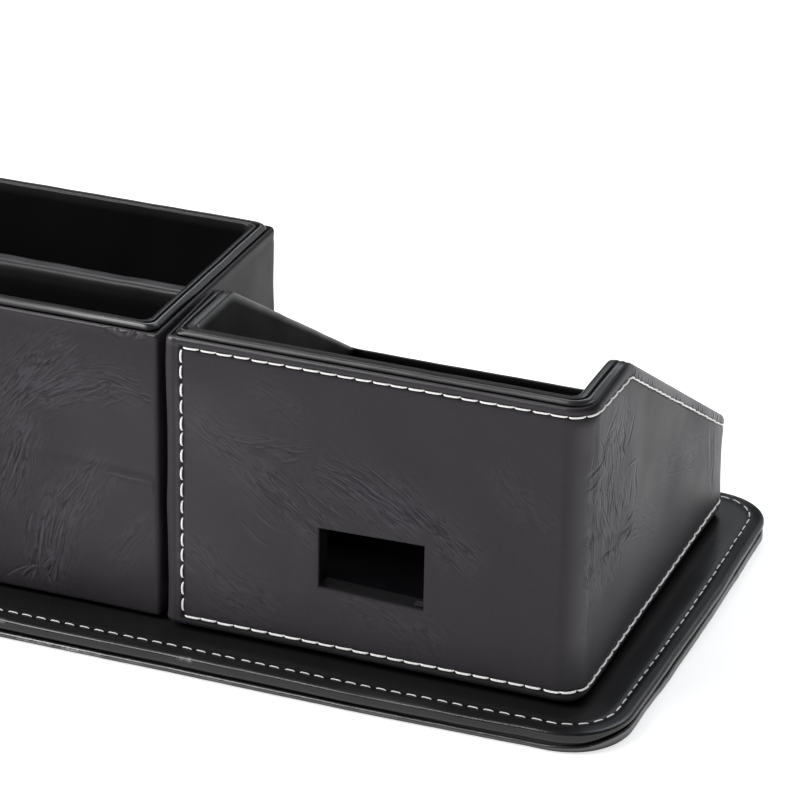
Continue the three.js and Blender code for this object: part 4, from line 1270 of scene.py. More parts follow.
stand_xi, org_xi = STAND_W / 2.0 - 5.2, ORG_W / 2.0 - 4.5
stand_stop = make_slab(
    "stand_stop_panel",
    STAND_AT,
    (-stand_xi, -53.6 + 52.0, 3.7),
    (stand_xi, -53.6 + 56.2, 24.0),
    1.5,
    2.0,
    0.05,
    0.05,
    41,
)
org_divider = make_slab(
    "organizer_divider_panel",
    ORG_AT,
    (-org_xi, -34.0 + 25.6, 3.7),
    (org_xi, -34.0 + 31.0, 70.9),
    1.7,
    2.0,
    0.06,
    0.0,
    42,
)
stand_pads = [
    make_slab("stand_floor_pad_rear", STAND_AT, (-stand_xi, -53.6 + 5.2, 3.7), (stand_xi, -53.6 + 51.9, 5.0), 0.5, 2.5, 0.05, 0.05, 43),
    make_slab("stand_floor_pad_front", STAND_AT, (-stand_xi, -53.6 + 56.3, 3.7), (stand_xi, 53.6 - 5.2, 5.0), 0.5, 2.5, 0.05, 0.05, 44),
]
org_pads = [
    make_slab("organizer_floor_pad_rear", ORG_AT, (-org_xi, -34.0 + 4.5, 3.7), (org_xi, -34.0 + 25.5, 5.0), 0.5, 2.5, 0.05, 0.05, 45),
    make_slab("organizer_floor_pad_front", ORG_AT, (-org_xi, -34.0 + 31.1, 3.7), (org_xi, 34.0 - 4.5, 5.0), 0.5, 2.5, 0.05, 0.05, 46),
]


def make_disc(name, at, plan, rings, relief):
    """A flat layer drawn ring by ring from the middle of its top, over the edge, to the middle of its underside."""
    s = Shell()
    rows = []
    for inset, z in rings:
        xy = plan.at(inset)
        rows.append(np.c_[xy, np.full(plan.n, float(z))])
    ids = [s.add(r) for r in rows]
    for a, b in zip(ids[:-1], ids[1:]):
        s.strip(a, b)
    s.f.append(tuple(ids[0].tolist()))
    s.f.append(tuple(reversed(ids[-1].tolist())))
    pts = s.points()
    pts = relief(pts, np.tile(plan.out, (len(rows), 1)), np.repeat([r[0] for r in rings], plan.n))
    return s.build(name, at, pts)


def felt_relief(pts, out, inset):
    w = Ripple(61, 3, 9)(pts)
    pts[:, :2] += out * (0.08 * w * (inset < FELT_IN + 0.6))[:, None]
    return pts


FELT_IN = 3.0


def felt_rings(depth):
    inner = [depth * k for k in (0.98, 0.7, 0.4, 0.2)]
    rings = [(FELT_IN + i, 0.95) for i in inner]
    rings += [(FELT_IN + 0.9, 0.95), (FELT_IN + 0.25, 0.93), (FELT_IN + 0.05, 0.8), (FELT_IN, 0.5)]
    rings += [(FELT_IN + 0.05, 0.17), (FELT_IN + 0.25, 0.05), (FELT_IN + 0.9, 0.03)]
    rings += [(FELT_IN + i, 0.03) for i in reversed(inner)]
    return rings


stand_felt = make_disc(
    "stand_felt",
    STAND_AT,
    Plan(STAND_W, STAND_D, STAND_R, (2.0,) * 4, (6, 6, 6, 6)),
    felt_rings(46.0),
    felt_relief,
)
org_felt = make_disc(
    "organizer_felt",
    ORG_AT,
    Plan(ORG_W, ORG_D, ORG_R, (2.0,) * 4, (6, 6, 6, 6)),
    felt_rings(30.0),
    felt_relief,
)

# ------------------------------------------------------------------ base
base_plan = Plan(BASE_L, BASE_D, BASE_R, (0.9, 0.9, 1.6, 1.6), (26, 30, 28, 20))
edge_wave, edge_fine, top_wave = Ripple(71, 18, 70), Ripple(72, 4, 11), Ripple(73, 22, 60)


END_RISE = 0.85  # the lower layer stands higher along the right end


def base_drift(pts, out):
    """The cut edge wanders a little: fuller along the right end, drawn in at the rear right."""
    x, y = pts[:, 0], pts[:, 1]
    d = np.clip(out[:, 0], 0, 1) ** 2 * (0.5 * np.exp(-(((y - 2.0) / 32.0) ** 2)) - 0.2 * smooth(y, 30.0, 55.0) - 0.25 * smooth(y, -22.0, -45.0))
    drawn = np.interp(x, [60, 70, 80, 88, 96, 101, 105, 110, 114, 119], [0.0, 0.2, 0.42, 0.55, 0.82, 1.1, 1.12, 0.88, 0.55, 0.1])
    d -= np.clip(-out[:, 1], 0, 1) ** 2 * (drawn + 0.25 * np.exp(-(((x - 15.0) / 9.0) ** 2)))
    return d


def base_relief(pts, out, inset):
    z = pts[:, 2]
    pts[:, :2] += out * (base_drift(pts, out) * (1.0 - smooth(inset, 4.5, 7.0)))[:, None]
    rim_zone = 1.0 - smooth(inset, 1.5, 5.0)
    side = 0.06 * edge_wave(pts) + 0.02 * edge_fine(pts)
    pts[:, :2] += out * (side * rim_zone * (z > 2.5))[:, None]
    lift = 0.06 * edge_wave(pts + 90.0) * rim_zone * (z > 3.3) + 0.05 * top_wave(pts) * (z > 5.1) * smooth(
        inset, 3.0, 9.0
    ) * (1.0 - smooth(inset, 5.0, 9.0))
    pts[:, 2] += lift + END_RISE * smooth(out[:, 0], 0.5, 0.95) * smooth(z, 4.4, 2.9) * (inset < 2.3)
    return pts


cover_rings = [(63.6, 5.7), (57, 5.7), (48, 5.7), (39, 5.7), (30, 5.7), (22, 5.7), (16, 5.7), (12, 5.7), (9, 5.7), (7, 5.7)]
cover_rings += [(5.6, 5.69), (4.9, 5.67), (4.35, 5.62), (4.0, 5.54), (3.8, 5.47), (3.6, 5.44), (3.4, 5.46), (3.2, 5.50), (2.9, 5.51)]
cover_rings += [(2.5, 5.48), (2.1, 5.42), (1.7, 5.34), (1.3, 5.25), (0.95, 5.16)]
for a in (18, 26, 35, 44, 53, 62, 72, 82, 90):
    a = math.radians(a)
    cover_rings.append((0.95 * (1 - math.sin(a)) / 0.79, 4.42 + 0.74 * math.cos(a) / 0.978))
cover_rings += [(-0.02, 3.8), (0.0, 3.25), (0.07, 2.86), (0.22, 2.6), (0.5, 2.45), (1.1, 2.42), (2.0, 2.42)]
cover_rings += [(2.2, 2.85), (1.32, 2.95), (1.3, 3.9), (1.35, 4.8), (2.4, 4.88), (20, 4.88), (63.6, 4.88)]
base_cover = make_disc("base_leather_cover", (0, 0, 0), base_plan, cover_rings, base_relief)

ring_in = np.repeat([r[0] for r in cover_rings], base_plan.n)
ring_z = np.repeat([r[1] for r in cover_rings], base_plan.n)
# Painted shade: in the thread's channel, on the strip between the thread and the edge along the right end, low on the
# right end's edge, and under the cover.
base_dark = 0.6 * np.exp(-(((ring_in - 3.5) / 0.42) ** 2)) * (ring_z > 5.2)
ring_out = np.tile(smooth(base_plan.out[:, 0], 0.5, 0.95), len(cover_rings))
base_dark = np.maximum(base_dark, 0.6 * ring_out * smooth(ring_in, 0.6, 1.2) * smooth(ring_in, 3.4, 2.9) * (ring_z > 5.0))
base_dark = np.maximum(base_dark, 0.9 * ring_out * smooth(ring_z, 3.35, 2.9))
store(base_cover, "painted_shade", np.maximum(base_dark, 0.8 * (ring_z < 2.7)))
# painted highlight along the rounded top edge
store(base_cover, "edge", 0.75 * smooth(ring_in, 1.1, 0.6) * smooth(ring_z, 4.3, 4.7))

backing_plan = Plan(BASE_L, BASE_D, BASE_R, (0.9, 0.9, 1.6, 1.6), (26, 30, 28, 20))
back_wave, back_fine = Ripple(75, 15, 60), Ripple(76, 2.5, 7)


def backing_relief(pts, out, inset):
    rim_zone = 1.0 - smooth(inset, 1.0, 3.0)
    pts[:, :2] += out * (base_drift(pts, out) * (1.0 - smooth(inset, 4.5, 7.0)))[:, None]
    pts[:, :2] += out * ((0.05 * back_wave(pts) + 0.02 * back_fine(pts)) * rim_zone)[:, None]
    corner = 2.0 * np.clip(out[:, 0], 0, 1) * np.clip(-out[:, 1], 0, 1)
    rise = END_RISE * smooth(out[:, 0], 0.5, 0.95) + 0.42 * corner
    pts[:, 2] += rise * smooth(pts[:, 2], 0.5, 1.3) * (inset < 1.5)
    return pts


backing_rings = [(63.0, 1.6), (30, 1.6), (8, 1.6), (2.2, 1.6), (1.3, 1.6), (0.9, 1.58), (0.6, 1.5), (0.36, 1.36), (0.2, 1.16), (0.12, 0.92)]
backing_rings += [(0.16, 0.6), (0.34, 0.34), (0.62, 0.14), (1.0, 0.03), (1.4, 0.0), (3.0, 0.0), (12, 0.0), (35, 0.0), (63.0, 0.0)]
base_backing = make_disc("base_lower_layer", (0, 0, 0), backing_plan, backing_rings, backing_relief)
back_in = np.repeat([r[0] for r in backing_rings], backing_plan.n)
back_z = np.repeat([r[1] for r in backing_rings], backing_plan.n)
# Painted shade: under the edge of the cover, on the lower turn of the lip, and in the groove above the lip along the
# right end.
back_dark = np.maximum(0.7 * smooth(back_in, 0.95, 1.4), 0.85 * smooth(back_z, 0.75, 0.35))
back_out = np.tile(smooth(backing_plan.out[:, 0], 0.5, 0.95), len(backing_rings))
back_dark = np.maximum(back_dark, 0.95 * back_out * smooth(back_in, 0.25, 0.55) * (back_z > 1.0))
store(base_backing, "painted_shade", back_dark)
# painted highlight along the top of the lip
store(base_backing, "edge", smooth(back_z, 0.6, 1.1) * smooth(back_in, 1.0, 0.7))


def wear_and_highlight_spots(plan, rings, spots, level):
    """Places along the rear edge that are painted lighter, each from x to x with its strength: scuffs through the
    finish, and a thin painted highlight line.
    """
    x = np.tile(plan.at(0.0)[:, 0], len(rings))
    rear = np.tile(plan.side == 0, len(rings))
    z = np.repeat([r[1] for r in rings], plan.n)
    inset = np.repeat([r[0] for r in rings], plan.n)
    most = np.zeros(len(x))
    for x0, x1, strong in spots:
        most = np.maximum(most, strong * smooth(x, x0 - 0.7, x0) * (1.0 - smooth(x, x1, x1 + 0.7)))
    return most * rear * (inset < 1.2) * smooth(z, level[0], level[1]) * (1.0 - smooth(z, level[2], level[3]))


store(
    base_backing,
    "wear_and_highlight",
    wear_and_highlight_spots(
        backing_plan,
        backing_rings,
        ((-34.0, -26.5, 0.12), (-22.6, -19.9, 0.42), (-18.8, -15.4, 0.35), (-14.9, -14.3, 0.6), (-10.5, -9.2, 1.0),
         (-8.3, -6.9, 0.75), (-5.8, -1.9, 0.4), (2.0, 9.0, 0.16), (24.0, 31.0, 0.14), (62.0, 70.0, 0.12)),
        (0.5, 0.8, 1.3, 1.6),
    ),
)
store(
    base_cover,
    "wear_and_highlight",
    np.maximum(
        wear_and_highlight_spots(base_plan, cover_rings, ((-27.2, -26.2, 0.5), (18.2, 18.9, 0.45), (20.2, 20.9, 0.9)), (4.3, 4.6, 4.9, 5.2)),
        # partly a scuffed finish, partly a painted highlight: a thin light line along the crest of the rear edge
        wear_and_highlight_spots(base_plan, cover_rings, ((66.0, 84.0, 0.34), (84.5, 107.0, 0.44)), (4.78, 4.86, 4.98, 5.04)),
    ),
)


# ------------------------------------------------------------------ threads
class Thread:
    """A row of single stitches, gathered into one mesh."""

    def __init__(self, seed):
        self.s, self.r = Shell(), np.random.default_rng(seed)

    def one(self, p, n, width, height, lean, sink=0.3):
        """One stitch along the points p on the leather, whose outward directions are n."""
        m = len(p)
        t = np.gradient(p, axis=0)
        t /= np.linalg.norm(t, axis=1)[:, None]
        b = np.cross(t, n)
        u = np.linspace(-1.0, 1.0, m)
        ends = np.abs(u) ** 5
        lift = height * 0.45 - (height * 0.45 + sink) * ends
        wide = width * np.sqrt(np.clip(1.0 - 0.80 * np.abs(u) ** 6, 0.05, 1))
        side = lean * u * (0.55 + 0.45 * u * u) + (0.14 * (0.4 - u * u) if lean == 0.0 else 0.0)
        mid = p + n * lift[:, None] + b * side[:, None]
        k = 10
        ids = []
        for i in range(m):
            a = np.linspace(0, 2 * math.pi, k, endpoint=False)
            twist = 1.0 + 0.07 * np.cos(2 * (a - 2.6 * u[i] * 3.0))
            ring = (
                mid[i]
                + np.outer(np.cos(a) * twist * wide[i] / 2.0, b[i])
                + np.outer(np.sin(a) * twist * height / 2.0 * (0.35 + 0.65 * wide[i] / width), n[i])
            )
            ids.append(self.s.add(ring))
        for a, c in zip(ids[:-1], ids[1:]):
            self.s.strip(a, c)
        self.s.f.append(tuple(ids[0].tolist()))
        self.s.f.append(tuple(reversed(ids[-1].tolist())))

    def row(self, line, nrm, pitch, share, width, height, slant, seed, sink=0.3):
        """Evenly spaced stitches along a line on the leather."""
        s, places, step = stitch_places(line, pitch, seed)
        for a in np.maximum(places, 0.0):
            length = min(step * share * self.r.uniform(0.95, 1.03), s[-1] - a)
            q = a + np.linspace(0, length, 15)
            p = np.c_[[np.interp(q, s, line[:, k]) for k in range(3)]].T
            n = np.c_[[np.interp(q, s, nrm[:, k]) for k in range(3)]].T
            n /= np.linalg.norm(n, axis=1)[:, None]
            shift = np.cross(np.gradient(p, axis=0), n)
            shift /= np.linalg.norm(shift, axis=1)[:, None]
            p = p + shift * self.r.normal(0, 0.04)
            self.one(p, n, width * self.r.uniform(0.93, 1.07), height, slant * self.r.uniform(0.6, 1.3), sink)


thread = Thread(81)
for line, nrm, pitch, share, width, height, slant, seed in STAND_ROWS:
    thread.row(line - 0.05 * nrm, nrm, pitch, share, width, height, slant, seed)
stand_thread = thread.s.build("stand_saddle_stitches", STAND_AT)

thread = Thread(82)
bxy = base_plan.at(3.6)
base_line = np.c_[bxy, np.full(base_plan.n, 5.49)]
base_line[:, :2] += base_plan.out * base_drift(base_line, base_plan.out)[:, None]
base_line = np.r_[base_line, base_line[:1]]
thread.row(base_line, np.tile((0.0, 0.0, 1.0), (len(base_line), 1)), 3.64, 0.72, 0.31, 0.24, 0.09, 95, sink=0.2)
base_thread = thread.s.build("base_stitches", (0, 0, 0))


# ------------------------------------------------------------------ materials
def socket(node, key, value):
    if isinstance(value, bpy.types.NodeSocket):
        node.id_data.links.new(value, node.inputs[key])
    else:
        node.inputs[key].default_value = value


class Paint:
    """A material and short names for the nodes it is made of."""

    def __init__(self, name):
        self.m = bpy.data.materials.new(name)
        self.m.use_nodes = True
        self.t = self.m.node_tree
        self.t.nodes.clear()
        out = self.t.nodes.new("ShaderNodeOutputMaterial")
        self.bsdf = self.t.nodes.new("ShaderNodeBsdfPrincipled")
        self.t.links.new(self.bsdf.outputs["BSDF"], out.inputs["Surface"])
        tc = self.t.nodes.new("ShaderNodeTexCoord")
        mp = self.t.nodes.new("ShaderNodeMapping")
        mp.inputs["Scale"].default_value = (1000.0, 1000.0, 1000.0)
        self.t.links.new(tc.outputs["Object"], mp.inputs["Vector"])
        self.mm = mp.outputs["Vector"]

    def set(self, key, value):
        socket(self.bsdf, key, value)

    def math(self, op, a, b=None, c=None):
        n = self.t.nodes.new("ShaderNodeMath")
        n.operation = op
        for k, x in enumerate((a, b, c)):
            if x is not None:
                socket(n, k, x)
        return n.outputs[0]

    def noise(self, scale, detail=2.0, rough=0.5, distort=0.0, vec=None):
        n = self.t.nodes.new("ShaderNodeTexNoise")
        n.noise_dimensions = "3D"
        socket(n, "Vector", vec or self.mm)
        socket(n, "Scale", scale)
        socket(n, "Detail", detail)
        socket(n, "Roughness", rough)
        socket(n, "Distortion", distort)
        return n

    def stretch(self, scale, rotation=(0.0, 0.0, 0.0)):
        n = self.t.nodes.new("ShaderNodeMapping")
        socket(n, "Vector", self.mm)
        socket(n, "Scale", scale)
        socket(n, "Rotation", rotation)
        return n.outputs["Vector"]

    def cells(self, scale, feature="DISTANCE_TO_EDGE", vec=None):
        n = self.t.nodes.new("ShaderNodeTexVoronoi")
        n.feature = feature
        socket(n, "Vector", vec or self.mm)
        socket(n, "Scale", scale)
        return n.outputs["Distance"]

    def between(self, x, a, b, c=0.0, d=1.0, kind="SMOOTHSTEP"):
        n = self.t.nodes.new("ShaderNodeMapRange")
        n.interpolation_type = kind
        for k, v in enumerate((x, a, b, c, d)):
            socket(n, k, v)
        return n.outputs[0]

    def ramp(self, fac, stops):
        n = self.t.nodes.new("ShaderNodeValToRGB")
        e = n.color_ramp.elements
        e[0].position, e[0].color = stops[0][0], (*stops[0][1], 1.0)
        e[1].position, e[1].color = stops[-1][0], (*stops[-1][1], 1.0)
        for pos, col in stops[1:-1]:
            x = e.new(pos)
            x.color = (*col, 1.0)
        socket(n, "Fac", fac)
        return n.outputs["Color"]

    def mix(self, fac, a, b):
        n = self.t.nodes.new("ShaderNodeMix")
        n.data_type = "RGBA"
        socket(n, 0, fac)
        for k, x in ((6, a), (7, b)):
            if isinstance(x, bpy.types.NodeSocket):
                self.t.links.new(x, n.inputs[k])
            else:
                n.inputs[k].default_value = (*x, 1.0)
        return n.outputs[2]

    def value(self, name):
        n = self.t.nodes.new("ShaderNodeAttribute")
        n.attribute_name = name
        return n

    def bump(self, height, strength=1.0):
        n = self.t.nodes.new("ShaderNodeBump")
        socket(n, "Strength", strength)
        socket(n, "Distance", MM)
        socket(n, "Height", height)
        self.set("Normal", n.outputs["Normal"])


def shade(c, k):
    return tuple(min(1.0, x * k) for x in c)


def leather(name, colour, rough, grain=1.0, creased=False, spec=0.5, dull=None, wear_and_highlight_on_edge=False):
    p = Paint(name)
    cloud = p.noise(0.035, 3.0, 0.55).outputs["Fac"]
    fine = p.noise(0.9, 3.0, 0.6).outputs["Fac"]
    warp = p.noise(0.55, 2.0, 0.5)
    v = p.t.nodes.new("ShaderNodeVectorMath")
    v.operation = "MULTIPLY_ADD"
    socket(v, 0, warp.outputs["Color"])
    socket(v, 1, (1.1, 1.1, 1.1))
    socket(v, 2, p.mm)
    cell = p.cells(0.95, vec=v.outputs[0])
    pebble = p.between(cell, 0.0, 0.16)
    hair = p.noise(5.0, 2.0, 0.6).outputs["Fac"]
    tone = p.ramp(cloud, [(0.25, shade(colour, 0.86)), (0.5, colour), (0.75, shade(colour, 1.13))])
    tone = p.mix(p.between(fine, 0.35, 0.7, 0.0, 0.18), tone, shade(colour, 1.5))
    r = p.between(cloud, 0.3, 0.7, rough - 0.05, rough + 0.06)
    height = p.math("MULTIPLY", pebble, 0.0035 * grain)
    height = p.math("MULTIPLY_ADD", hair, 0.0022 * grain, height)
    height = p.math("MULTIPLY_ADD", fine, 0.006 * grain, height)
    if creased:
        mask = p.value("pebble").outputs["Fac"]
        height = p.math("ADD", height, p.math("MULTIPLY", mask, p.math("MULTIPLY", pebble, 0.016)))
        total = wear_and_highlight = pit = None
        for k in range(LAYERS):
            a = p.value("crease_%d" % k)
            xyz = p.t.nodes.new("ShaderNodeSeparateXYZ")
            p.t.links.new(a.outputs["Vector"], xyz.inputs[0])
            x = p.math("DIVIDE", xyz.outputs[0], xyz.outputs[2])
            q = p.math("MULTIPLY", x, x)
            valley = p.math("EXPONENT", p.math("MULTIPLY", q, -1.0))
            ridge = p.math("EXPONENT", p.math("MULTIPLY", q, -0.22))
            form = p.math("MULTIPLY_ADD", ridge, 0.55, p.math("MULTIPLY", valley, -1.0))
            one = p.math("MULTIPLY", form, xyz.outputs[1])
            total = one if total is None else p.math("ADD", total, one)
            deep = p.math("MULTIPLY", valley, xyz.outputs[1])
            # painted highlight on the crease ridges, stronger on the shoulder that faces the light
            edge = p.math("MULTIPLY", p.math("SUBTRACT", ridge, valley), xyz.outputs[1])
            edge = p.math("MULTIPLY", edge, p.between(x, -1.4, 1.4, 1.9, 0.3))
            pit = deep if pit is None else p.math("ADD", pit, deep)
            wear_and_highlight = edge if wear_and_highlight is None else p.math("ADD", wear_and_highlight, edge)
        for k in range(FIELDS):
            a = p.value("wrinkle_%d" % k)
            xyz = p.t.nodes.new("ShaderNodeSeparateXYZ")
            p.t.links.new(a.outputs["Vector"], xyz.inputs[0])
            v = p.t.nodes.new("ShaderNodeVectorMath")
            v.operation = "MULTIPLY"
            socket(v, 0, a.outputs["Vector"])
            socket(v, 1, (1.0, 1.0, 0.0))
            line = p.noise(1.0, 2.0, 0.45, 0.25, vec=v.outputs[0]).outputs["Fac"]
            x = p.math("MULTIPLY_ADD", line, 26.0, -13.0)
            q = p.math("MULTIPLY", x, x)
            valley = p.math("EXPONENT", p.math("MULTIPLY", q, -1.0))
            ridge = p.math("EXPONENT", p.math("MULTIPLY", q, -0.22))
            strong = p.math("MULTIPLY", xyz.outputs[2], 0.075)
            form = p.math("MULTIPLY_ADD", ridge, 0.55, p.math("MULTIPLY", valley, -1.0))
            total = p.math("ADD", total, p.math("MULTIPLY", form, strong))
            pit = p.math("MULTIPLY_ADD", p.math("MULTIPLY", valley, strong), 0.7, pit)
            wear_and_highlight = p.math("MULTIPLY_ADD", p.math("MULTIPLY", p.math("SUBTRACT", ridge, valley), strong), 1.5, wear_and_highlight)
        height = p.math("MULTIPLY_ADD", total, 1.6, height)
        # Painted light and shade in the creases: a bluish sheen on the pebbled patches, highlights on the ridges and
        # raised creases, shade in the valleys; the ridge highlight also raises the specular.
        painted_sheen = p.math("MULTIPLY", mask, 0.30)
        tone = p.mix(painted_sheen, tone, tuple(a * b for a, b in zip(colour, (1.3, 1.35, 1.55))))
        painted_ridge_light = p.between(wear_and_highlight, 0.0, 0.06, 0.0, 0.5, "LINEAR")
        tone = p.mix(painted_ridge_light, tone, tuple(a * b for a, b in zip(colour, (2.0, 2.05, 2.3))))
        crest = p.between(p.math("MULTIPLY", pit, -1.0), 0.0, 0.075, 0.0, 0.9, "LINEAR")
        tone = p.mix(crest, tone, tuple(a * b for a, b in zip(colour, (2.1, 2.15, 2.3))))
        dark = p.between(pit, 0.0, 0.19, 0.0, 0.9, "LINEAR")
        tone = p.mix(dark, tone, shade(colour, 0.2))
    shine = spec
    if creased:
        shine = p.between(pit, 0.0, 0.16, spec, 0.3 * spec, "LINEAR")
        shine = p.math("MULTIPLY", shine, p.math("MULTIPLY_ADD", painted_ridge_light, 1.5, 1.0))
    # painted highlight: the edge attribute lightens the tone and makes the leather glossier
    edge = p.value("edge").outputs["Fac"]
    gleam = p.math("MULTIPLY", edge, edge)
    tone = p.mix(p.math("MULTIPLY", edge, 0.5), tone, shade(colour, 1.9))
    shine = p.math("MULTIPLY", shine, p.math("MULTIPLY_ADD", gleam, 2.6, 1.0))
    r = p.math("MULTIPLY_ADD", gleam, -0.12, r)
    # painted shade: the tone darkens and the specular falls where this attribute is set
    painted_shade = p.value("painted_shade").outputs["Fac"]
    tone = p.mix(p.math("MULTIPLY", painted_shade, 0.92), tone, shade(colour, 0.15))
    shine = p.math("MULTIPLY", shine, p.between(painted_shade, 0.0, 1.0, 1.0, 0.1))
    if wear_and_highlight_on_edge:
        # scuffs on the edges, and the painted highlight line along the rear edge of the base
        wear_and_highlight_fac = p.value("wear_and_highlight").outputs["Fac"]
        patch = p.between(p.noise(1.6, 2.0, 0.6).outputs["Fac"], 0.40, 0.55)
        tone = p.mix(p.math("MULTIPLY", wear_and_highlight_fac, p.math("MULTIPLY_ADD", patch, 0.75, 0.25)), tone, (0.36, 0.36, 0.37))
    if dull:
        wall = p.value("wall").outputs["Fac"]
        tone = p.mix(wall, tone, dull)
        r = p.math("MULTIPLY_ADD", wall, 0.35, r)
        shine = p.math("MULTIPLY", shine, p.between(wall, 0.0, 1.0, 1.0, 0.3))
    p.set("Base Color", tone)
    p.set("Roughness", r)
    p.set("Specular IOR Level", shine)
    p.bump(height)
    return p.m


def nap(name, colour, size):
    p = Paint(name)
    fuzz = p.noise(3.2 / size, 4.0, 0.7).outputs["Fac"]
    patch = p.noise(0.12, 3.0, 0.55).outputs["Fac"]
    tone = p.ramp(fuzz, [(0.3, shade(colour, 0.55)), (0.7, shade(colour, 1.5))])
    tone = p.mix(p.between(patch, 0.35, 0.65, 0.0, 0.5), tone, shade(colour, 0.7))
    p.set("Base Color", tone)
    p.set("Roughness", p.between(patch, 0.3, 0.7, 0.82, 0.97))
    p.set("Specular IOR Level", 0.04)
    p.bump(p.math("MULTIPLY", fuzz, 0.10 * size))
    return p.m


def cotton(name, colour):
    p = Paint(name)
    ply = p.noise(2.2, 3.0, 0.65, 0.4).outputs["Fac"]
    soil = p.noise(0.05, 2.0, 0.5).outputs["Fac"]
    tone = p.ramp(ply, [(0.25, shade(colour, 0.82)), (0.65, shade(colour, 1.06))])
    tone = p.mix(p.between(soil, 0.45, 0.75, 0.0, 0.35), tone, shade(colour, 0.88))
    p.set("Base Color", tone)
    p.set("Roughness", p.between(ply, 0.2, 0.8, 0.5, 0.75))
    p.set("Specular IOR Level", 0.35)
    # Painted light: the thread glows a little, so that it stays bright where it lies in shade.
    p.set("Emission Color", tone)
    p.set("Emission Strength", 0.3)
    p.bump(p.math("MULTIPLY", ply, 0.10))
    return p.m


def fibre(name, colour):
    p = Paint(name)
    strands = p.noise(1.0, 5.0, 0.7, vec=p.stretch((0.5, 0.5, 2.4))).outputs["Fac"]
    fleck = p.noise(2.4, 3.0, 0.6).outputs["Fac"]
    tone = p.ramp(strands, [(0.3, shade(colour, 0.7)), (0.7, shade(colour, 1.3))])
    tone = p.mix(p.between(fleck, 0.55, 0.7, 0.0, 0.5), tone, shade(colour, 0.5))
    p.set("Base Color", tone)
    p.set("Roughness", p.between(fleck, 0.3, 0.7, 0.8, 0.95))
    p.set("Specular IOR Level", 0.2)
    p.bump(p.math("MULTIPLY", strands, 0.06))
    return p.m


COVER = (0.0352, 0.0316, 0.0352)
cover_leather = leather("cover_leather", COVER, 0.45, 1.0, True, 0.175)
base_leather = leather("base_leather", (0.0175, 0.0168, 0.0180), 0.32, 0.8, False, 0.36, wear_and_highlight_on_edge=True)
lining_leather = leather("lining_leather", (0.030, 0.0288, 0.030), 0.36, 0.5, spec=0.5, dull=(0.0045, 0.0045, 0.0055))
backing_leather = leather("backing_leather", (0.024, 0.023, 0.025), 0.42, 1.6, wear_and_highlight_on_edge=True)
floor_nap = nap("floor_lining_nap", (0.0045, 0.0045, 0.0055), 1.0)
felt_nap = nap("felt_nap", (0.008, 0.008, 0.009), 1.3)
thread_white = cotton("thread_white", (0.92, 0.92, 0.91))
board_fibre = fibre("board_fibre", (0.020, 0.019, 0.018))


def dress(obj, material, body, slot, *nodes):
    obj.data.materials.clear()
    obj.data.materials.append(material)
    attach(obj, body)
    if nodes:
        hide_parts(*nodes)


dress(base_cover, base_leather, "base", "base_leather", "base_cover")
dress(base_backing, backing_leather, "base", "backing", "base_backing")
dress(base_thread, thread_white, "base", "thread", "base_stitching")
dress(stand_cover, cover_leather, "stand_box", "cover_leather", "stand_cover")
dress(
    stand_lining,
    lining_leather,
    "stand_box",
    "lining",
    "stand_rear_lining",
    "stand_front_lining",
    "stand_left_lining",
    "stand_right_lining",
)
dress(stand_stop, lining_leather, "stand_box", "lining", "stand_stop_cover")
dress(stand_pads[0], floor_nap, "stand_box", "floor_lining", "stand_rear_floor_lining")
dress(stand_pads[1], floor_nap, "stand_box", "floor_lining", "stand_front_floor_lining")
dress(stand_felt, felt_nap, "stand_box", "felt", "stand_felt_pad")
dress(stand_thread, thread_white, "stand_box", "thread", "stand_stitching")
dress(org_cover, cover_leather, "organizer_box", "cover_leather", "organizer_cover")
dress(
    org_lining,
    lining_leather,
    "organizer_box",
    "lining",
    "organizer_rear_lining",
    "organizer_front_lining",
    "organizer_left_lining",
    "organizer_right_lining",
)
dress(org_divider, lining_leather, "organizer_box", "lining", "organizer_divider_cover")
dress(org_pads[0], floor_nap, "organizer_box", "floor_lining", "organizer_rear_floor_lining")
dress(org_pads[1], floor_nap, "organizer_box", "floor_lining", "organizer_front_floor_lining")
dress(org_felt, felt_nap, "organizer_box", "felt", "organizer_felt_pad")
for name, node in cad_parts.items():
    if name.endswith("_board"):
        node.data.materials.clear()
        node.data.materials.append(board_fibre)

# ------------------------------------------------------------------ stage
floor_mesh = bpy.data.meshes.new("floor")
floor_mesh.from_pydata([(-6, -6, 0), (6, -6, 0), (6, 6, 0), (-6, 6, 0)], [], [(0, 1, 2, 3)])
floor = bpy.data.objects.new("floor", floor_mesh)
floor.location = (0, 0, -0.0002)
bpy.context.scene.collection.objects.link(floor)
paper = Paint("floor_paper")
paper.set("Base Color", paper.ramp(paper.noise(0.01, 2.0, 0.5).outputs["Fac"], [(0.2, (0.86, 0.86, 0.86)), (0.8, (0.90, 0.90, 0.90))]))
paper.set("Roughness", 0.9)
paper.set("Emission Color", (1.0, 1.0, 1.0, 1.0))
paper.set("Emission Strength", 0.76)
paper.set("Specular IOR Level", 0.1)
floor_mesh.materials.append(paper.m)

world = bpy.data.worlds.new("studio")
bpy.context.scene.world = world
world.use_nodes = True
world.node_tree.nodes["Background"].inputs["Color"].default_value = (1.0, 1.0, 1.0, 1.0)
world.node_tree.nodes["Background"].inputs["Strength"].default_value = 0.01


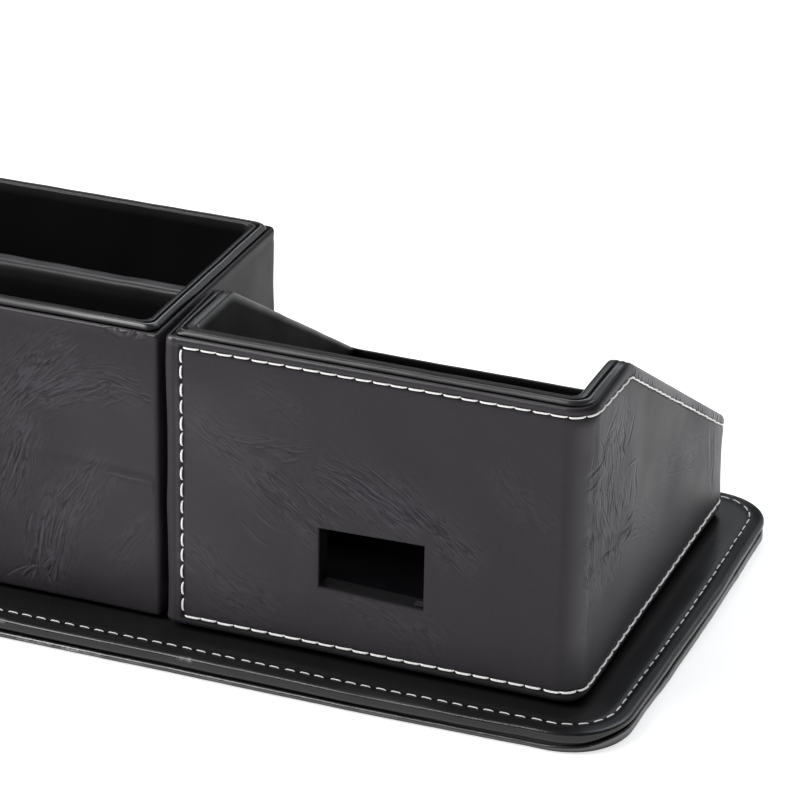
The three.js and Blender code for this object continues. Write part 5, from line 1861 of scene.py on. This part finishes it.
def softbox(name, at, aim, size, radiance, tint=(1.0, 1.0, 1.0)):
    data = bpy.data.lights.new(name, "AREA")
    data.shape = "RECTANGLE"
    data.size, data.size_y = size
    data.energy = math.pi * size[0] * size[1] * radiance
    data.color = tint
    obj = bpy.data.objects.new(name, data)
    here, there = np.array(at, float), np.array(aim, float)
    z = (here - there) / np.linalg.norm(here - there)
    x = np.cross((0, 0, 1.0), z)
    if np.linalg.norm(x) < 1e-6:
        x = np.array((1.0, 0, 0))
    x /= np.linalg.norm(x)
    y = np.cross(z, x)
    obj.matrix_world = Matrix(
        [(*row, here[k]) for k, row in enumerate(np.c_[x, y, z])] + [(0, 0, 0, 1)]
    )
    bpy.context.scene.collection.objects.link(obj)
    return obj


def from_side(name, azimuth, height, size, radiance, tint=(1.0, 1.0, 1.0)):
    """A softbox 1.2 m from the caddy, placed by its bearing and its height in degrees."""
    a, h = math.radians(azimuth), math.radians(height)
    aim = (0.02, 0.0, 0.03)
    at = (
        aim[0] + 1.2 * math.cos(h) * math.cos(a),
        aim[1] + 1.2 * math.cos(h) * math.sin(a),
        aim[2] + 1.2 * math.sin(h),
    )
    softbox(name, at, aim, size, radiance, tint)


from_side("left_key", 202.0, 24.0, (0.6, 0.6), 5.2)
from_side("left_high", 222.0, 52.0, (0.6, 0.6), 4.6)
from_side("far_right", 60.0, 50.0, (0.7, 0.7), 1.5, (0.85, 0.91, 1.0))
from_side("far_middle", 92.0, 40.0, (0.45, 0.45), 1.7, (0.95, 0.97, 1.0))
from_side("far_left", 116.0, 52.0, (0.7, 0.7), 2.6, (0.95, 0.97, 1.0))
from_side("far_low", 66.0, 14.0, (0.5, 0.5), 0.6)

cam_data = bpy.data.cameras.new("camera")
cam_data.sensor_fit = "HORIZONTAL"
cam_data.sensor_width = 36.0
cam_data.lens = 177.40748
cam_data.clip_start, cam_data.clip_end = 0.05, 30.0
cam = bpy.data.objects.new("camera", cam_data)
right = (0.9312024, 0.36409997, 0.01712618)
down = (0.1714265, -0.39599868, -0.90210753)
ahead = (-0.32167538, 0.84298058, -0.4311713)
place = (0.34178283, -0.77490211, 0.44300402)
cam.matrix_world = Matrix(
    [(right[k], -down[k], -ahead[k], place[k]) for k in range(3)] + [(0, 0, 0, 1)]
)
bpy.context.scene.collection.objects.link(cam)
bpy.context.scene.camera = cam
bpy.context.scene.view_settings.view_transform = "Standard"
bpy.context.scene.view_settings.look = "None"

bpy.context.view_layer.update()
